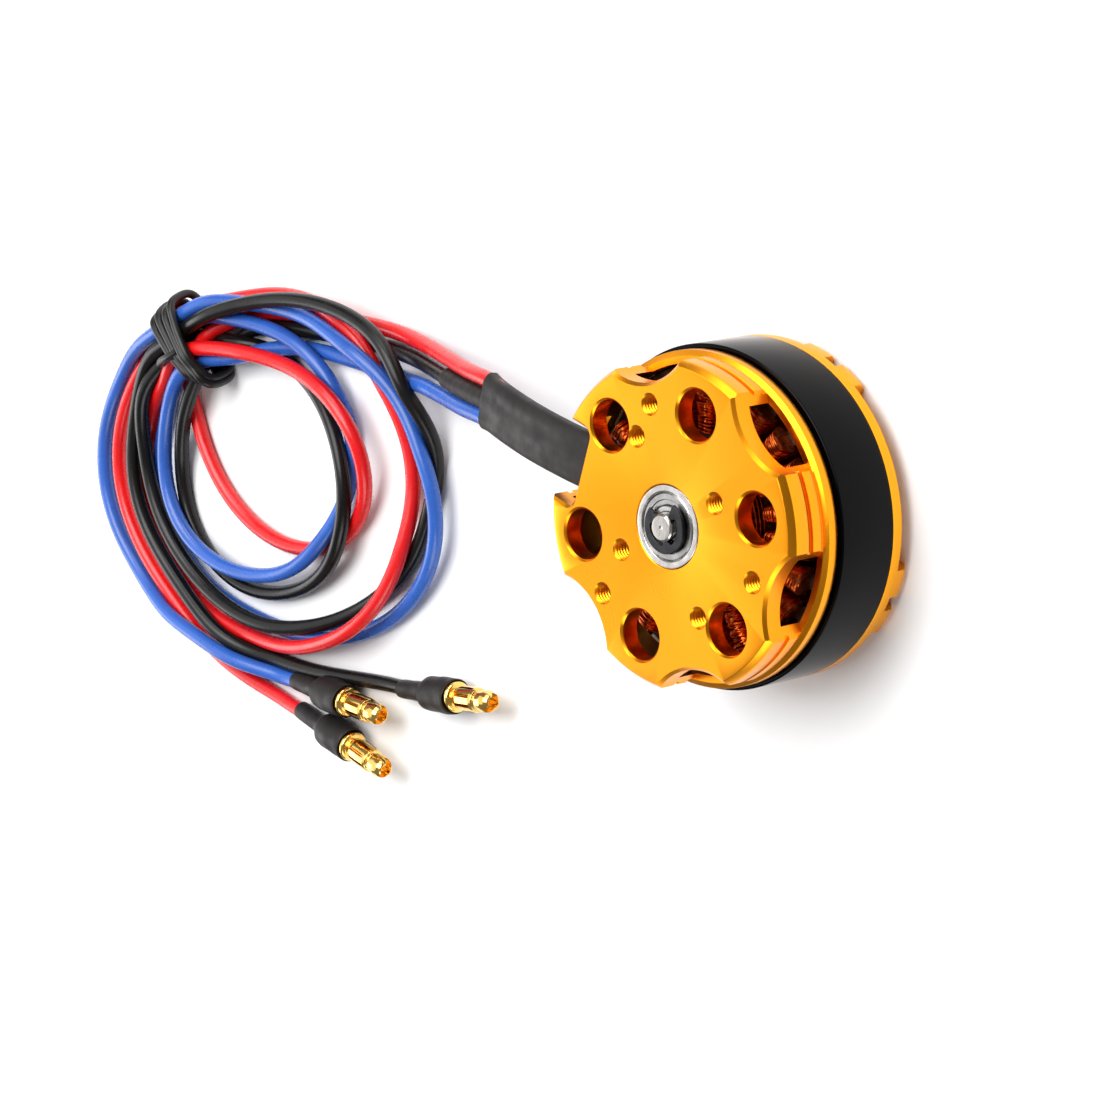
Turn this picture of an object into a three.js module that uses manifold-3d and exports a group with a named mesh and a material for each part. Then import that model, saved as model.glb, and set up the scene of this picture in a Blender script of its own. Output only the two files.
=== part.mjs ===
// Brushless outrunner motor with three silicone leads, standing on its propeller side.
// Millimetres. +Z runs along the motor's axis from the propeller side to the mounting face.
// The leads leave the base along -X, come down to the floor and lie there in a tied coil.
// The origin is on the axis, at the propeller face, which is the level of the floor.

import * as THREE from 'three';
import { mergeVertices } from 'three/addons/utils/BufferGeometryUtils.js';
import Module from 'manifold-3d';

const wasm = await Module();
wasm.setup();

// ---------------------------------------------------------------- driving dimensions

const FIT = 0.03;                   // radial gap between round faces that fit together
const MOTOR_HEIGHT = 22;            // propeller face to mounting face
const BELL_RADIUS = 22.9;
const ARM_DEPTH = 2.35;             // the bell's arms stand this far below its ring
const BELL_RING_TOP = 3.95;
const FLUX_RING_TOP = 13.4;
const BASE_BOTTOM = 13.9;
const BASE_RADIUS = 22;
const BASE_RIM_RADIUS = 22.3;
const PLATE_BOTTOM = 19.2;

const SHAFT_RADIUS = 2;
const SHAFT_TIP = 23.2;
const BEARING_RADIUS = 5.5;         // 4 x 11 x 4 mm bearings
const BEARING_WIDTH = 4;
const REAR_BEARING_BOTTOM = 5.3;
const TUBE_RADIUS = 6.8;            // bearing tube that carries the stator
const HUB_RADIUS = 8.5;
const HUB_TOP = 4.7;

const TEETH = 24;
const MAGNETS = 22;
const STATOR_RADIUS = 20.5;
const STATOR_BOTTOM = 5.5;
const STATOR_TOP = 13.5;
const AIR_GAP = 0.3;
const MAGNET_THICKNESS = 0.9;
const MAGNET_BOTTOM = 4.4;
const MAGNET_TOP = 13.1;
const WINDING_BOTTOM = 3.3;
const WINDING_TOP = 16.9;

const VENT_CIRCLE = 16;             // radius of the circle of vent holes
const VENT_RADIUS = 3.4;
const M3_TAP_RADIUS = 1.25;
const SCALLOP_RADIUS = 9.8;
const SCALLOP_DEPTH_RADIUS = 18.8;  // where a scallop comes nearest to the axis
const NOTCH_WIDTH = 11.4;           // the cable's way out of the base
const NOTCH_DEPTH_RADIUS = 17;

const ARM_COUNT = 4;
const ARM_ANGLE = 82;               // degrees, first arm of the bell at rest
const ARM_WIDTH = 10;
const ARM_SLOT = 2.1;

const LEAD_RADIUS = 1.15;           // 18 AWG silicone lead
const SLEEVE_WIDTH = 7.8;
const SLEEVE_THICKNESS = 3;
const SLEEVE_HEADING = 187.5;       // degrees
const SLEEVE_SHIFT = 2.5;           // sideways, from a line through the axis
const COIL_HEIGHT = 7;

const FINE = 66;                    // facets of the large cylinders, three to a magnet
const MEDIUM = 24;                  // facets of bearings, shaft and vent holes
const COARSE = 12;                  // facets of screws and screw holes

// ---------------------------------------------------------------- solids

function solidOf(geometry) {
  const bare = geometry.clone();
  bare.deleteAttribute('normal');
  bare.deleteAttribute('uv');
  const merged = mergeVertices(bare, 1e-4);
  const corners = merged.index.array;
  const kept = [];
  for (let i = 0; i < corners.length; i += 3) {
    const [a, b, c] = [corners[i], corners[i + 1], corners[i + 2]];
    if (a !== b && b !== c && c !== a) kept.push(a, b, c);
  }
  return new wasm.Manifold(new wasm.Mesh({
    numProp: 3,
    vertProperties: new Float32Array(merged.attributes.position.array),
    triVerts: new Uint32Array(kept),
  }));
}

function geometryOf(solid) {
  const mesh = solid.getMesh();
  const geometry = new THREE.BufferGeometry();
  geometry.setAttribute('position', new THREE.BufferAttribute(new Float32Array(mesh.vertProperties), 3));
  geometry.setIndex(new THREE.BufferAttribute(new Uint32Array(mesh.triVerts), 1));
  geometry.computeVertexNormals();
  return geometry;
}

function joined(solids) {
  return solids.reduce((whole, next) => whole.add(next));
}

function cut(solid, cutters) {
  return cutters.reduce((left, cutter) => left.subtract(cutter), solid);
}

// A solid of revolution about Z. The outline is a list of [radius, height], counter-clockwise.
function turned(outline, facets) {
  const points = [...outline, outline[0]].map(([radius, height]) => new THREE.Vector2(radius, height));
  return solidOf(new THREE.LatheGeometry(points, facets).rotateX(Math.PI / 2));
}

function ring(inner, outer, bottom, top, facets) {
  return turned([[inner, bottom], [outer, bottom], [outer, top], [inner, top]], facets);
}

function post(radius, bottom, top, facets, x = 0, y = 0) {
  const geometry = new THREE.CylinderGeometry(radius, radius, top - bottom, facets);
  return solidOf(geometry.rotateX(Math.PI / 2).translate(x, y, (bottom + top) / 2));
}

// A box given by its middle, its sizes and its turn about Z in degrees.
function block(sizeX, sizeY, sizeZ, x, y, z, turn = 0) {
  const geometry = new THREE.BoxGeometry(sizeX, sizeY, sizeZ).translate(x, y, z);
  return solidOf(geometry.rotateZ(THREE.MathUtils.degToRad(turn)));
}

function polar(radius, degrees) {
  const angle = THREE.MathUtils.degToRad(degrees);
  return [radius * Math.cos(angle), radius * Math.sin(angle)];
}

// A hole through the mounting face, with a chamfered mouth.
function faceHole(radius, chamfer, bottom, facets, x, y) {
  const above = 0.5;
  const geometry = new THREE.LatheGeometry([
    new THREE.Vector2(0, bottom),
    new THREE.Vector2(radius, bottom),
    new THREE.Vector2(radius, MOTOR_HEIGHT - chamfer),
    new THREE.Vector2(radius + chamfer + above, MOTOR_HEIGHT + above),
    new THREE.Vector2(0, MOTOR_HEIGHT + above),
  ], facets);
  return solidOf(geometry.rotateX(Math.PI / 2).translate(x, y, 0));
}

// ---------------------------------------------------------------- materials

const FINISHES = {
  gold: [0xe8991c, 0.28, 0.9],
  steel: [0xb9bcc0, 0.28, 1],
  dark_steel: [0x3b3d40, 0.4, 0.9],
  gloss_black: [0x0b0b0d, 0.12, 0.3],
  magnet: [0x8d9094, 0.35, 0.9],
  lamination: [0x1b1d1f, 0.45, 0.4],
  enamelled_wire: [0x7c2c12, 0.35, 0.7],
  red_silicone: [0xd9222a, 0.45, 0],
  blue_silicone: [0x2c5fb4, 0.45, 0],
  black_silicone: [0x151416, 0.45, 0],
  heat_shrink: [0x2b2829, 0.6, 0],
  mixed_leads: [0x5a3a52, 0.5, 0],
  gold_plate: [0xf0b840, 0.2, 1],
};

function finish(name) {
  const [color, roughness, metalness] = FINISHES[name];
  return new THREE.MeshStandardMaterial({ color, roughness, metalness });
}

const motor = new THREE.Group();
motor.name = 'brushless_outrunner_motor';

function add(name, solid, finishName) {
  const mesh = new THREE.Mesh(geometryOf(solid), finish(finishName));
  mesh.name = name;
  motor.add(mesh);
  return mesh;
}

// ---------------------------------------------------------------- mounting base

function baseBody() {
  const grooveRadius = BASE_RADIUS - 0.5;
  const rimTop = 15.4;
  const lowerGroove = [15.7, 16.5];
  const upperGroove = [18.1, 18.8];
  const edgeHeight = 0.9;
  const edgeWidth = 0.7;
  const wallInner = 20.6;
  const tubeBottom = REAR_BEARING_BOTTOM - 0.2;
  const shoulder = 4.6;             // bore between the two bearing seats
  const rearSeatTop = REAR_BEARING_BOTTOM + BEARING_WIDTH + FIT;
  const frontSeatBottom = MOTOR_HEIGHT - BEARING_WIDTH - FIT;
  const seat = BEARING_RADIUS + FIT;
  return turned([
    [TUBE_RADIUS, tubeBottom],
    [TUBE_RADIUS, PLATE_BOTTOM],
    [wallInner, PLATE_BOTTOM],
    [wallInner, BASE_BOTTOM],
    [BASE_RIM_RADIUS, BASE_BOTTOM],
    [BASE_RIM_RADIUS, rimTop],
    [grooveRadius, lowerGroove[0]],
    [grooveRadius, lowerGroove[1]],
    [BASE_RADIUS, lowerGroove[1]],
    [BASE_RADIUS, upperGroove[0]],
    [grooveRadius, upperGroove[0]],
    [grooveRadius, upperGroove[1]],
    [BASE_RADIUS, upperGroove[1]],
    [BASE_RADIUS, MOTOR_HEIGHT - edgeHeight],
    [BASE_RADIUS - edgeWidth, MOTOR_HEIGHT],
    [seat, MOTOR_HEIGHT],
    [seat, frontSeatBottom],
    [shoulder, frontSeatBottom],
    [shoulder, rearSeatTop],
    [seat, rearSeatTop],
    [seat, tubeBottom],
  ], FINE);
}

// Vent holes on one circle, three M3 holes between them, and the 19 x 25 mm cross pattern.
function faceHoles() {
  const holes = [];
  const holeBottom = PLATE_BOTTOM - 1;
  for (let i = 0; i < 6; i += 1) {
    holes.push(faceHole(VENT_RADIUS, 0.35, holeBottom, MEDIUM, ...polar(VENT_CIRCLE, 30 + 60 * i)));
  }
  const screws = [[16, 0], [16, 120], [16, 240], [9.5, 45], [9.5, 225], [12.5, 135], [12.5, 315]];
  for (const [radius, degrees] of screws) {
    holes.push(faceHole(M3_TAP_RADIUS, 0.3, holeBottom, COARSE, ...polar(radius, degrees)));
  }
  return holes;
}

// Five scallops open the wall beside the plate; the sixth place holds the wider cable notch.
function edgeCuts() {
  const windowBottom = 15.7;
  const cuts = [];
  for (const degrees of [0, 60, 120, 240, 300]) {
    const middle = polar(SCALLOP_DEPTH_RADIUS + SCALLOP_RADIUS, degrees);
    cuts.push(post(SCALLOP_RADIUS, windowBottom, MOTOR_HEIGHT + 1, 48, ...middle));
  }
  const notchLength = 8;
  const notchBottom = 15.4;
  cuts.push(block(
    notchLength, NOTCH_WIDTH, MOTOR_HEIGHT + 1 - notchBottom,
    -NOTCH_DEPTH_RADIUS - notchLength / 2, 0, (MOTOR_HEIGHT + 1 + notchBottom) / 2,
  ));
  return cuts;
}

add('mount_base', cut(baseBody(), [...faceHoles(), ...edgeCuts()]), 'gold');

// ---------------------------------------------------------------- stator

function statorCore() {
  const yokeRadius = 11.3;
  const toothHalfWidth = 1.1;
  const headRadius = 19.2;
  const neckRadius = 18.9;
  const headHalfAngle = 6.3;
  const shape = new THREE.Shape();
  const pitch = 360 / TEETH;
  for (let i = 0; i < TEETH; i += 1) {
    const at = i * pitch;
    const flank = (radius) => THREE.MathUtils.radToDeg(Math.asin(toothHalfWidth / radius));
    const corners = [
      [yokeRadius, at - flank(yokeRadius)],
      [neckRadius, at - flank(neckRadius)],
      [headRadius, at - headHalfAngle],
      [STATOR_RADIUS, at - headHalfAngle],
      [STATOR_RADIUS, at],
      [STATOR_RADIUS, at + headHalfAngle],
      [headRadius, at + headHalfAngle],
      [neckRadius, at + flank(neckRadius)],
      [yokeRadius, at + flank(yokeRadius)],
    ];
    for (const [radius, degrees] of corners) {
      const [x, y] = polar(radius, degrees);
      if (shape.curves.length === 0 && shape.currentPoint.lengthSq() === 0) shape.moveTo(x, y);
      else shape.lineTo(x, y);
    }
  }
  shape.closePath();
  const depth = STATOR_TOP - STATOR_BOTTOM;
  const stack = solidOf(new THREE.ExtrudeGeometry(shape, { depth, bevelEnabled: false })
    .translate(0, 0, STATOR_BOTTOM));
  return stack.subtract(post(TUBE_RADIUS + 0.06, STATOR_BOTTOM - 1, STATOR_TOP + 1, FINE));
}

// One coil around one tooth: a wedge that fills its share of the slot, with the tooth's place cut out.
function coil(degrees) {
  const innerRadius = 11.6;
  const outerRadius = 18.7;
  const clearance = 0.12;
  const slotHalf = (radius) => radius * Math.tan(Math.PI / TEETH) - clearance;
  const half = slotHalf(outerRadius);
  const outline = new THREE.Shape([
    new THREE.Vector2(-half, STATOR_BOTTOM - 0.3),
    new THREE.Vector2(-0.6 * half, WINDING_BOTTOM),
    new THREE.Vector2(0.6 * half, WINDING_BOTTOM),
    new THREE.Vector2(half, STATOR_BOTTOM - 0.3),
    new THREE.Vector2(half, STATOR_TOP + 1.2),
    new THREE.Vector2(0.6 * half, WINDING_TOP),
    new THREE.Vector2(-0.6 * half, WINDING_TOP),
    new THREE.Vector2(-half, STATOR_TOP + 1.2),
  ]);
  const wedge = new THREE.ExtrudeGeometry(outline, { depth: outerRadius - innerRadius, bevelEnabled: false });
  const place = wedge.attributes.position;
  for (let i = 0; i < place.count; i += 1) {
    const narrowing = slotHalf(innerRadius + place.getZ(i)) / half;
    place.setX(i, place.getX(i) * narrowing);
  }
  const [cosine, sine] = polar(1, degrees);
  const tangent = new THREE.Vector3(-sine, cosine, 0);
  const outward = new THREE.Vector3(cosine, sine, 0);
  wedge.translate(0, 0, innerRadius);
  wedge.applyMatrix4(new THREE.Matrix4().makeBasis(tangent, new THREE.Vector3(0, 0, 1), outward));
  const toothLength = 12;
  const toothMiddle = 15;
  const toothWidth = 2.4;
  const stackHeight = STATOR_TOP - STATOR_BOTTOM + 0.2;
  const stackMiddle = (STATOR_BOTTOM + STATOR_TOP) / 2;
  const toothPlace = block(toothLength, toothWidth, stackHeight, toothMiddle, 0, stackMiddle, degrees);
  return solidOf(wedge).subtract(toothPlace);
}

// A phase's eight coils, in two groups of four teeth, and the ring of wire that joins them.
function phaseWinding(phase) {
  const joinHeight = 14.5 + 0.8 * phase;
  const joinThickness = 0.5;
  const parts = [ring(9.7, 10.4, joinHeight, joinHeight + joinThickness, MEDIUM)];
  for (let tooth = 0; tooth < TEETH; tooth += 1) {
    if (Math.floor(tooth / 4) % 3 !== phase) continue;
    const degrees = tooth * 360 / TEETH;
    parts.push(coil(degrees));
    parts.push(block(2, 0.7, joinThickness, 11, 0, joinHeight + joinThickness / 2, degrees));
  }
  return joined(parts);
}

add('stator_core', statorCore(), 'lamination');
['u', 'v', 'w'].forEach((letter, phase) => {
  add(`winding_phase_${letter}`, phaseWinding(phase), 'enamelled_wire');
});

// ---------------------------------------------------------------- bearings

const RACE_INNER = 2.7;             // outside of the inner race
const RACE_OUTER = 4.65;            // inside of the outer race

function ballSet(middle) {
  const pitchRadius = (RACE_INNER + RACE_OUTER) / 2;
  const ballRadius = 0.85;
  const ballCount = 7;
  const firstBall = 8;
  const balls = [];
  for (let i = 0; i < ballCount; i += 1) {
    const turn = firstBall + i * 360 / ballCount;
    const [x, y] = polar(pitchRadius, turn);
    const ball = new THREE.SphereGeometry(ballRadius, 9, 6).rotateZ(THREE.MathUtils.degToRad(turn));
    balls.push(solidOf(ball.translate(x, y, middle)));
  }
  const cage = ring(pitchRadius - 0.27, pitchRadius + 0.27, middle - 0.5, middle + 0.5, 16);
  return joined([cage, ...balls]);
}

function bearing(name, bottom) {
  const top = bottom + BEARING_WIDTH;
  const shieldInset = 0.15;
  const shieldThickness = 0.25;
  const shield = (from) => ring(RACE_INNER + 0.15, RACE_OUTER - 0.1, from, from + shieldThickness, MEDIUM);
  add(`${name}_outer_race`, ring(RACE_OUTER, BEARING_RADIUS, bottom, top, MEDIUM), 'steel');
  add(`${name}_inner_race`, ring(SHAFT_RADIUS + FIT, RACE_INNER, bottom, top, MEDIUM), 'steel');
  add(`${name}_balls`, ballSet((bottom + top) / 2), 'steel');
  add(`${name}_upper_shield`, shield(top - shieldInset - shieldThickness), 'steel');
  add(`${name}_lower_shield`, shield(bottom + shieldInset), 'steel');
}

bearing('front_bearing', MOTOR_HEIGHT - BEARING_WIDTH);
bearing('rear_bearing', REAR_BEARING_BOTTOM);

// ---------------------------------------------------------------- shaft and what it carries

const CLIP_BOTTOM = MOTOR_HEIGHT + 0.1;
const CLIP_TOP = CLIP_BOTTOM + 0.6;

function shaft() {
  const grooveRadius = 1.5;
  return turned([
    [0, 0.4],
    [SHAFT_RADIUS, 0.4],
    [SHAFT_RADIUS, CLIP_BOTTOM - 0.05],
    [grooveRadius, CLIP_BOTTOM - 0.05],
    [grooveRadius, CLIP_TOP + 0.05],
    [SHAFT_RADIUS - 0.15, CLIP_TOP + 0.05],
    [SHAFT_RADIUS - 0.15, SHAFT_TIP - 0.15],
    [SHAFT_RADIUS - 0.4, SHAFT_TIP],
    [0, SHAFT_TIP],
  ], MEDIUM);
}

// The E-clip: an open ring whose three lobes reach into the shaft's groove.
function eClip() {
  const mouthTurn = 120;
  const middle = (CLIP_BOTTOM + CLIP_TOP) / 2;
  const thickness = CLIP_TOP - CLIP_BOTTOM;
  const lobe = (turn) => block(0.9, 1.2, thickness, 2.05, 0, middle, mouthTurn + turn);
  const clip = joined([ring(2.3, 3.5, CLIP_BOTTOM, CLIP_TOP, MEDIUM), lobe(75), lobe(180), lobe(-75)]);
  return clip.subtract(block(4, 2.8, 2, 2.6, 0, middle, mouthTurn));
}

add('shaft', shaft(), 'steel');
add('e_clip', eClip(), 'dark_steel');
const WASHER_RADIUS = 3.2;
const WASHER_GAP = 0.05;
const WASHER_ENDS = [HUB_TOP + WASHER_GAP, REAR_BEARING_BOTTOM - WASHER_GAP];
add('spacer_washer', ring(SHAFT_RADIUS + FIT, WASHER_RADIUS, ...WASHER_ENDS, MEDIUM), 'steel');

// ---------------------------------------------------------------- bell

const GRUB_RADIUS = 1;
const GRUB_TURNS = [ARM_ANGLE, ARM_ANGLE + 90];
const GRUB_HEIGHT = 2.5;

// One arm of the bell: a bar from the hub to the ring, split into two prongs at its outer end.
function arm(degrees) {
  const start = 5;
  const length = BELL_RADIUS - start;
  const thickness = ARM_DEPTH + 0.45;
  const slotLength = 11;
  const slotMiddle = 19;
  const bar = block(length, ARM_WIDTH, thickness, start + length / 2, 0, thickness / 2, degrees);
  const slot = block(slotLength, ARM_SLOT, 2 * ARM_DEPTH, slotMiddle, 0, 0, degrees);
  return bar.subtract(slot);
}

function bellCap() {
  const edge = 0.9;
  const rimInner = 19.4;
  const screwCircle = 6;
  const arms = [];
  for (let i = 0; i < ARM_COUNT; i += 1) {
    arms.push(arm(ARM_ANGLE + i * 360 / ARM_COUNT));
  }
  const outside = turned([
    [0, 0], [BELL_RADIUS - edge, 0], [BELL_RADIUS, edge], [BELL_RADIUS, BELL_RING_TOP], [0, BELL_RING_TOP],
  ], FINE);
  const hub = post(HUB_RADIUS, 0, HUB_TOP, MEDIUM);
  const rim = ring(rimInner, BELL_RADIUS, ARM_DEPTH, BELL_RING_TOP, FINE);
  const whole = joined([...arms.map((bar) => bar.intersect(outside)), rim, hub]);
  const cuts = [post(SHAFT_RADIUS + FIT, -1, HUB_TOP + 1, MEDIUM)];
  for (let i = 0; i < 4; i += 1) {
    cuts.push(post(M3_TAP_RADIUS, -1, 4, COARSE, ...polar(screwCircle, ARM_ANGLE + 45 + 90 * i)));
  }
  for (const turn of GRUB_TURNS) {
    cuts.push(radialPost(GRUB_RADIUS + 0.05, SHAFT_RADIUS - 0.5, HUB_RADIUS + 1, turn));
  }
  return cut(whole, cuts);
}

// A round bar that lies along a radius, at the height of the grub screws.
function radialPost(radius, from, to, turn) {
  const geometry = new THREE.CylinderGeometry(radius, radius, to - from, COARSE)
    .rotateZ(Math.PI / 2)
    .translate((from + to) / 2, 0, GRUB_HEIGHT)
    .rotateZ(THREE.MathUtils.degToRad(turn));
  return solidOf(geometry);
}

add('bell_cap', bellCap(), 'gold');
GRUB_TURNS.forEach((turn, index) => {
  add(`grub_screw_${index + 1}`, radialPost(GRUB_RADIUS, SHAFT_RADIUS + 0.1, 6.4, turn), 'dark_steel');
});

const MAGNET_INNER = STATOR_RADIUS + AIR_GAP;
const MAGNET_OUTER = MAGNET_INNER + MAGNET_THICKNESS;

const FLUX_RING_INNER = MAGNET_OUTER + 0.05;
const FLUX_RING_BOTTOM = BELL_RING_TOP + FIT;
add('flux_ring', ring(FLUX_RING_INNER, BELL_RADIUS, FLUX_RING_BOTTOM, FLUX_RING_TOP, FINE), 'gloss_black');

// A magnet is a short arc of the ring between the stator and the flux ring.
function magnet(degrees) {
  const halfAngle = THREE.MathUtils.degToRad(7);
  const shape = new THREE.Shape();
  shape.absarc(0, 0, MAGNET_OUTER, -halfAngle, halfAngle, false);
  shape.absarc(0, 0, MAGNET_INNER, halfAngle, -halfAngle, true);
  const geometry = new THREE.ExtrudeGeometry(shape, {
    depth: MAGNET_TOP - MAGNET_BOTTOM, bevelEnabled: false, curveSegments: 3,
  });
  return solidOf(geometry.translate(0, 0, MAGNET_BOTTOM).rotateZ(THREE.MathUtils.degToRad(degrees)));
}

for (let i = 0; i < MAGNETS; i += 1) {
  add(`magnet_${String(i + 1).padStart(2, '0')}`, magnet(i * 360 / MAGNETS), 'magnet');
}

// ---------------------------------------------------------------- leads

// The flat sleeve is drawn from the side, bent down along its length, and given its width.
function leadSleeve() {
  const middle = new THREE.SplineCurve([
    new THREE.Vector2(18.4, 18.6),
    new THREE.Vector2(22, 18.6),
    new THREE.Vector2(30, 17.8),
    new THREE.Vector2(37, 16.3),
    new THREE.Vector2(42.6, 14.6),
  ]);
  const steps = 10;
  const roundness = 0.9;
  const half = SLEEVE_THICKNESS / 2 - roundness;
  const along = middle.getPoints(steps);
  const upper = along.map((point) => new THREE.Vector2(point.x, point.y + half));
  const lower = along.map((point) => new THREE.Vector2(point.x, point.y - half)).reverse();
  const geometry = new THREE.ExtrudeGeometry(new THREE.Shape([...lower, ...upper]), {
    depth: SLEEVE_WIDTH - 2 * roundness,
    bevelThickness: roundness,
    bevelSize: roundness,
    bevelSegments: 2,
  });
  geometry.translate(0, 0, roundness - SLEEVE_WIDTH / 2);
  geometry.rotateX(Math.PI / 2);
  geometry.rotateZ(THREE.MathUtils.degToRad(SLEEVE_HEADING));
  geometry.translate(0, SLEEVE_SHIFT, 0);
  return solidOf(geometry);
}

function roundSection(radius, sides) {
  const corners = [];
  for (let i = 0; i < sides; i += 1) {
    corners.push(new THREE.Vector2(...polar(radius, (i + 0.5) * 360 / sides)));
  }
  return new THREE.Shape(corners);
}

// A cord along a smooth curve through the route's points.
function cord(route, radius, steps) {
  const path = new THREE.CatmullRomCurve3(route.map((point) => new THREE.Vector3(...point)));
  return solidOf(new THREE.ExtrudeGeometry(roundSection(radius, 8), {
    steps, extrudePath: path, bevelEnabled: false,
  }));
}

// Each lead's start, from the flat sleeve's mouth down to the floor beside the coil.
const LEAD_ROUTES = {
  red: [
    [-44.2, -0.6, 14.1], [-50, -2.3, 12], [-58, -4.5, 8.4],
    [-66, -6.6, 5], [-71, -7.9, 3.3], [-75.5, -9, 2.2],
  ],
  black: [[-59.4, -7.7, 7.6], [-65, -9.2, 5.2], [-70, -10.4, 3.5]],
  blue: [[-43.4, -6.05, 14.1], [-50, -8, 11.7], [-59, -10.6, 7.8], [-67, -12.9, 4.8]],
};

// A short heat-shrink tube covers the joint in the black lead, between the flat sleeve and the lead.
const JOINT_ROUTE = [[-43.8, -3.35, 14.1], [-50, -5.1, 11.9], [-59, -7.6, 7.8]];
const JOINT_RADIUS = 1.45;

// Each lead's last stretch, on the floor, from the coil to its connector.
const TAIL_ROUTES = {
  red: [[-89.5, -76.4, 1.2], [-85, -75.7, 1.2], [-80.5, -74.6, 1.5], [-77.4, -74, 1.8]],
  black: [[-74.8, -64.1, 1.2], [-71, -62.9, 1.2], [-66, -61.6, 1.3], [-61, -60.4, 1.5], [-57.9, -59.2, 1.8]],
  blue: [[-85, -71.6, 1.3], [-82.5, -70.7, 1.5], [-79.9, -69.9, 1.8]],
};

// The coil of all three leads: an oval ring, thinned where the tie grips it.
const COIL_MIDDLE = [-98.5, -44];
const COIL_TURN = 35;               // degrees, the long way of the oval
const COIL_HOLE = [-97, -39];       // middle of the open place inside the coil
const COIL_HOLE_TURN = 20;
const TIE_PLACE = [-118.6, -30.2];
const TIE_TURN = 48.5;              // degrees, the way the leads run through the tie
const TIE_LENGTH = 6.6;
const TIE_GAP = 0.3;
const GRIP_WIDTH = 24;
const WAIST_WIDTH = 11;
const WAIST_BOTTOM = 2.4;
const WAIST_TOP = 6.4;

function oval(halfLength, halfWidth, depth, x, y, turn) {
  const shape = new THREE.Shape();
  shape.absellipse(0, 0, halfLength, halfWidth, 0, 2 * Math.PI);
  const geometry = new THREE.ExtrudeGeometry(shape, { depth, bevelEnabled: false, curveSegments: 24 });
  return solidOf(geometry.rotateZ(THREE.MathUtils.degToRad(turn)).translate(x, y, 0));
}

function tieBlock(length, width, bottom, top) {
  const geometry = new THREE.BoxGeometry(length, width, top - bottom)
    .rotateZ(THREE.MathUtils.degToRad(TIE_TURN))
    .translate(TIE_PLACE[0], TIE_PLACE[1], (bottom + top) / 2);
  return solidOf(geometry);
}

function leadCoil() {
  const outside = oval(42.5, 29.5, COIL_HEIGHT, ...COIL_MIDDLE, COIL_TURN);
  const hole = oval(15, 9.5, 3 * COIL_HEIGHT, ...COIL_HOLE, COIL_HOLE_TURN);
  const grip = tieBlock(TIE_LENGTH + 2 * TIE_GAP, GRIP_WIDTH, -1, COIL_HEIGHT + 1);
  const waist = tieBlock(TIE_LENGTH + 4 * TIE_GAP, WAIST_WIDTH, WAIST_BOTTOM, WAIST_TOP);
  return outside.subtract(hole).subtract(grip).add(waist);
}

// The tie is a band about the thinned place, as tall as its two thicknesses and the leads.
function coilTie() {
  const bandThickness = 2.1;
  const outside = tieBlock(
    TIE_LENGTH, WAIST_WIDTH + 2 * (TIE_GAP + bandThickness),
    0, WAIST_TOP + TIE_GAP + bandThickness,
  );
  const inside = tieBlock(
    TIE_LENGTH + 2, WAIST_WIDTH + 2 * TIE_GAP,
    WAIST_BOTTOM - TIE_GAP, WAIST_TOP + TIE_GAP,
  );
  return outside.subtract(inside);
}

// ---------------------------------------------------------------- connectors

// Each connector starts where its lead ends. Its pin tips up, because the boot's wide end lies on the floor.
const CONNECTOR_PLACES = {
  red: { start: [-77.1, -74, 1.8], heading: 8, rise: 9 },
  black: { start: [-57.5, -59, 1.8], heading: 25, rise: 9 },
  blue: { start: [-79.6, -69.8, 1.8], heading: 17, rise: 9 },
};
const BOOT_LENGTH = 12;

// Turns a solid's outline, drawn along +Z from the end of the lead, to lie where the connector lies.
function laid(outline, facets, place) {
  const points = outline.map(([radius, along]) => new THREE.Vector2(radius, along));
  const geometry = new THREE.LatheGeometry(points, facets)
    .rotateZ(-Math.PI / 2)
    .rotateY(THREE.MathUtils.degToRad(-place.rise))
    .rotateZ(THREE.MathUtils.degToRad(place.heading))
    .translate(...place.start);
  return solidOf(geometry);
}

function boot(place) {
  const bore = 2.3;
  return laid([
    [0, 0], [1.55, 0], [1.6, 4.2], [2.65, 5.6], [2.65, BOOT_LENGTH],
    [bore, BOOT_LENGTH], [bore, BOOT_LENGTH - 3], [0, BOOT_LENGTH - 3],
  ], COARSE, place);
}

function connector(place) {
  return laid([
    [0, 9.3], [2.2, 9.3], [2.2, 13], [1.6, 13.3], [1.6, 14], [1.85, 14.8],
    [1.85, 18.4], [1.55, 19.2], [1.55, 21], [1, 22], [0, 22],
  ], COARSE, place);
}

add('lead_sleeve', leadSleeve(), 'heat_shrink');
for (const colour of ['red', 'black', 'blue']) {
  add(`${colour}_lead`, cord(LEAD_ROUTES[colour], LEAD_RADIUS, 9), `${colour}_silicone`);
  add(`${colour}_lead_tail`, cord(TAIL_ROUTES[colour], LEAD_RADIUS, 5), `${colour}_silicone`);
  add(`${colour}_boot`, boot(CONNECTOR_PLACES[colour]), 'heat_shrink');
  add(`${colour}_connector`, connector(CONNECTOR_PLACES[colour]), 'gold_plate');
}
add('joint_sleeve', cord(JOINT_ROUTE, JOINT_RADIUS, 5), 'heat_shrink');
add('lead_coil', leadCoil(), 'mixed_leads');
add('coil_tie', coilTie(), 'black_silicone');

export default motor;
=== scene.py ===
# Looks of the brushless outrunner motor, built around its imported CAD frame.
# Sizes are in millimetres in this file and become metres where a mesh is made.

import math

import bmesh
import bpy
import numpy as np
from mathutils import Matrix, Vector


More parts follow.
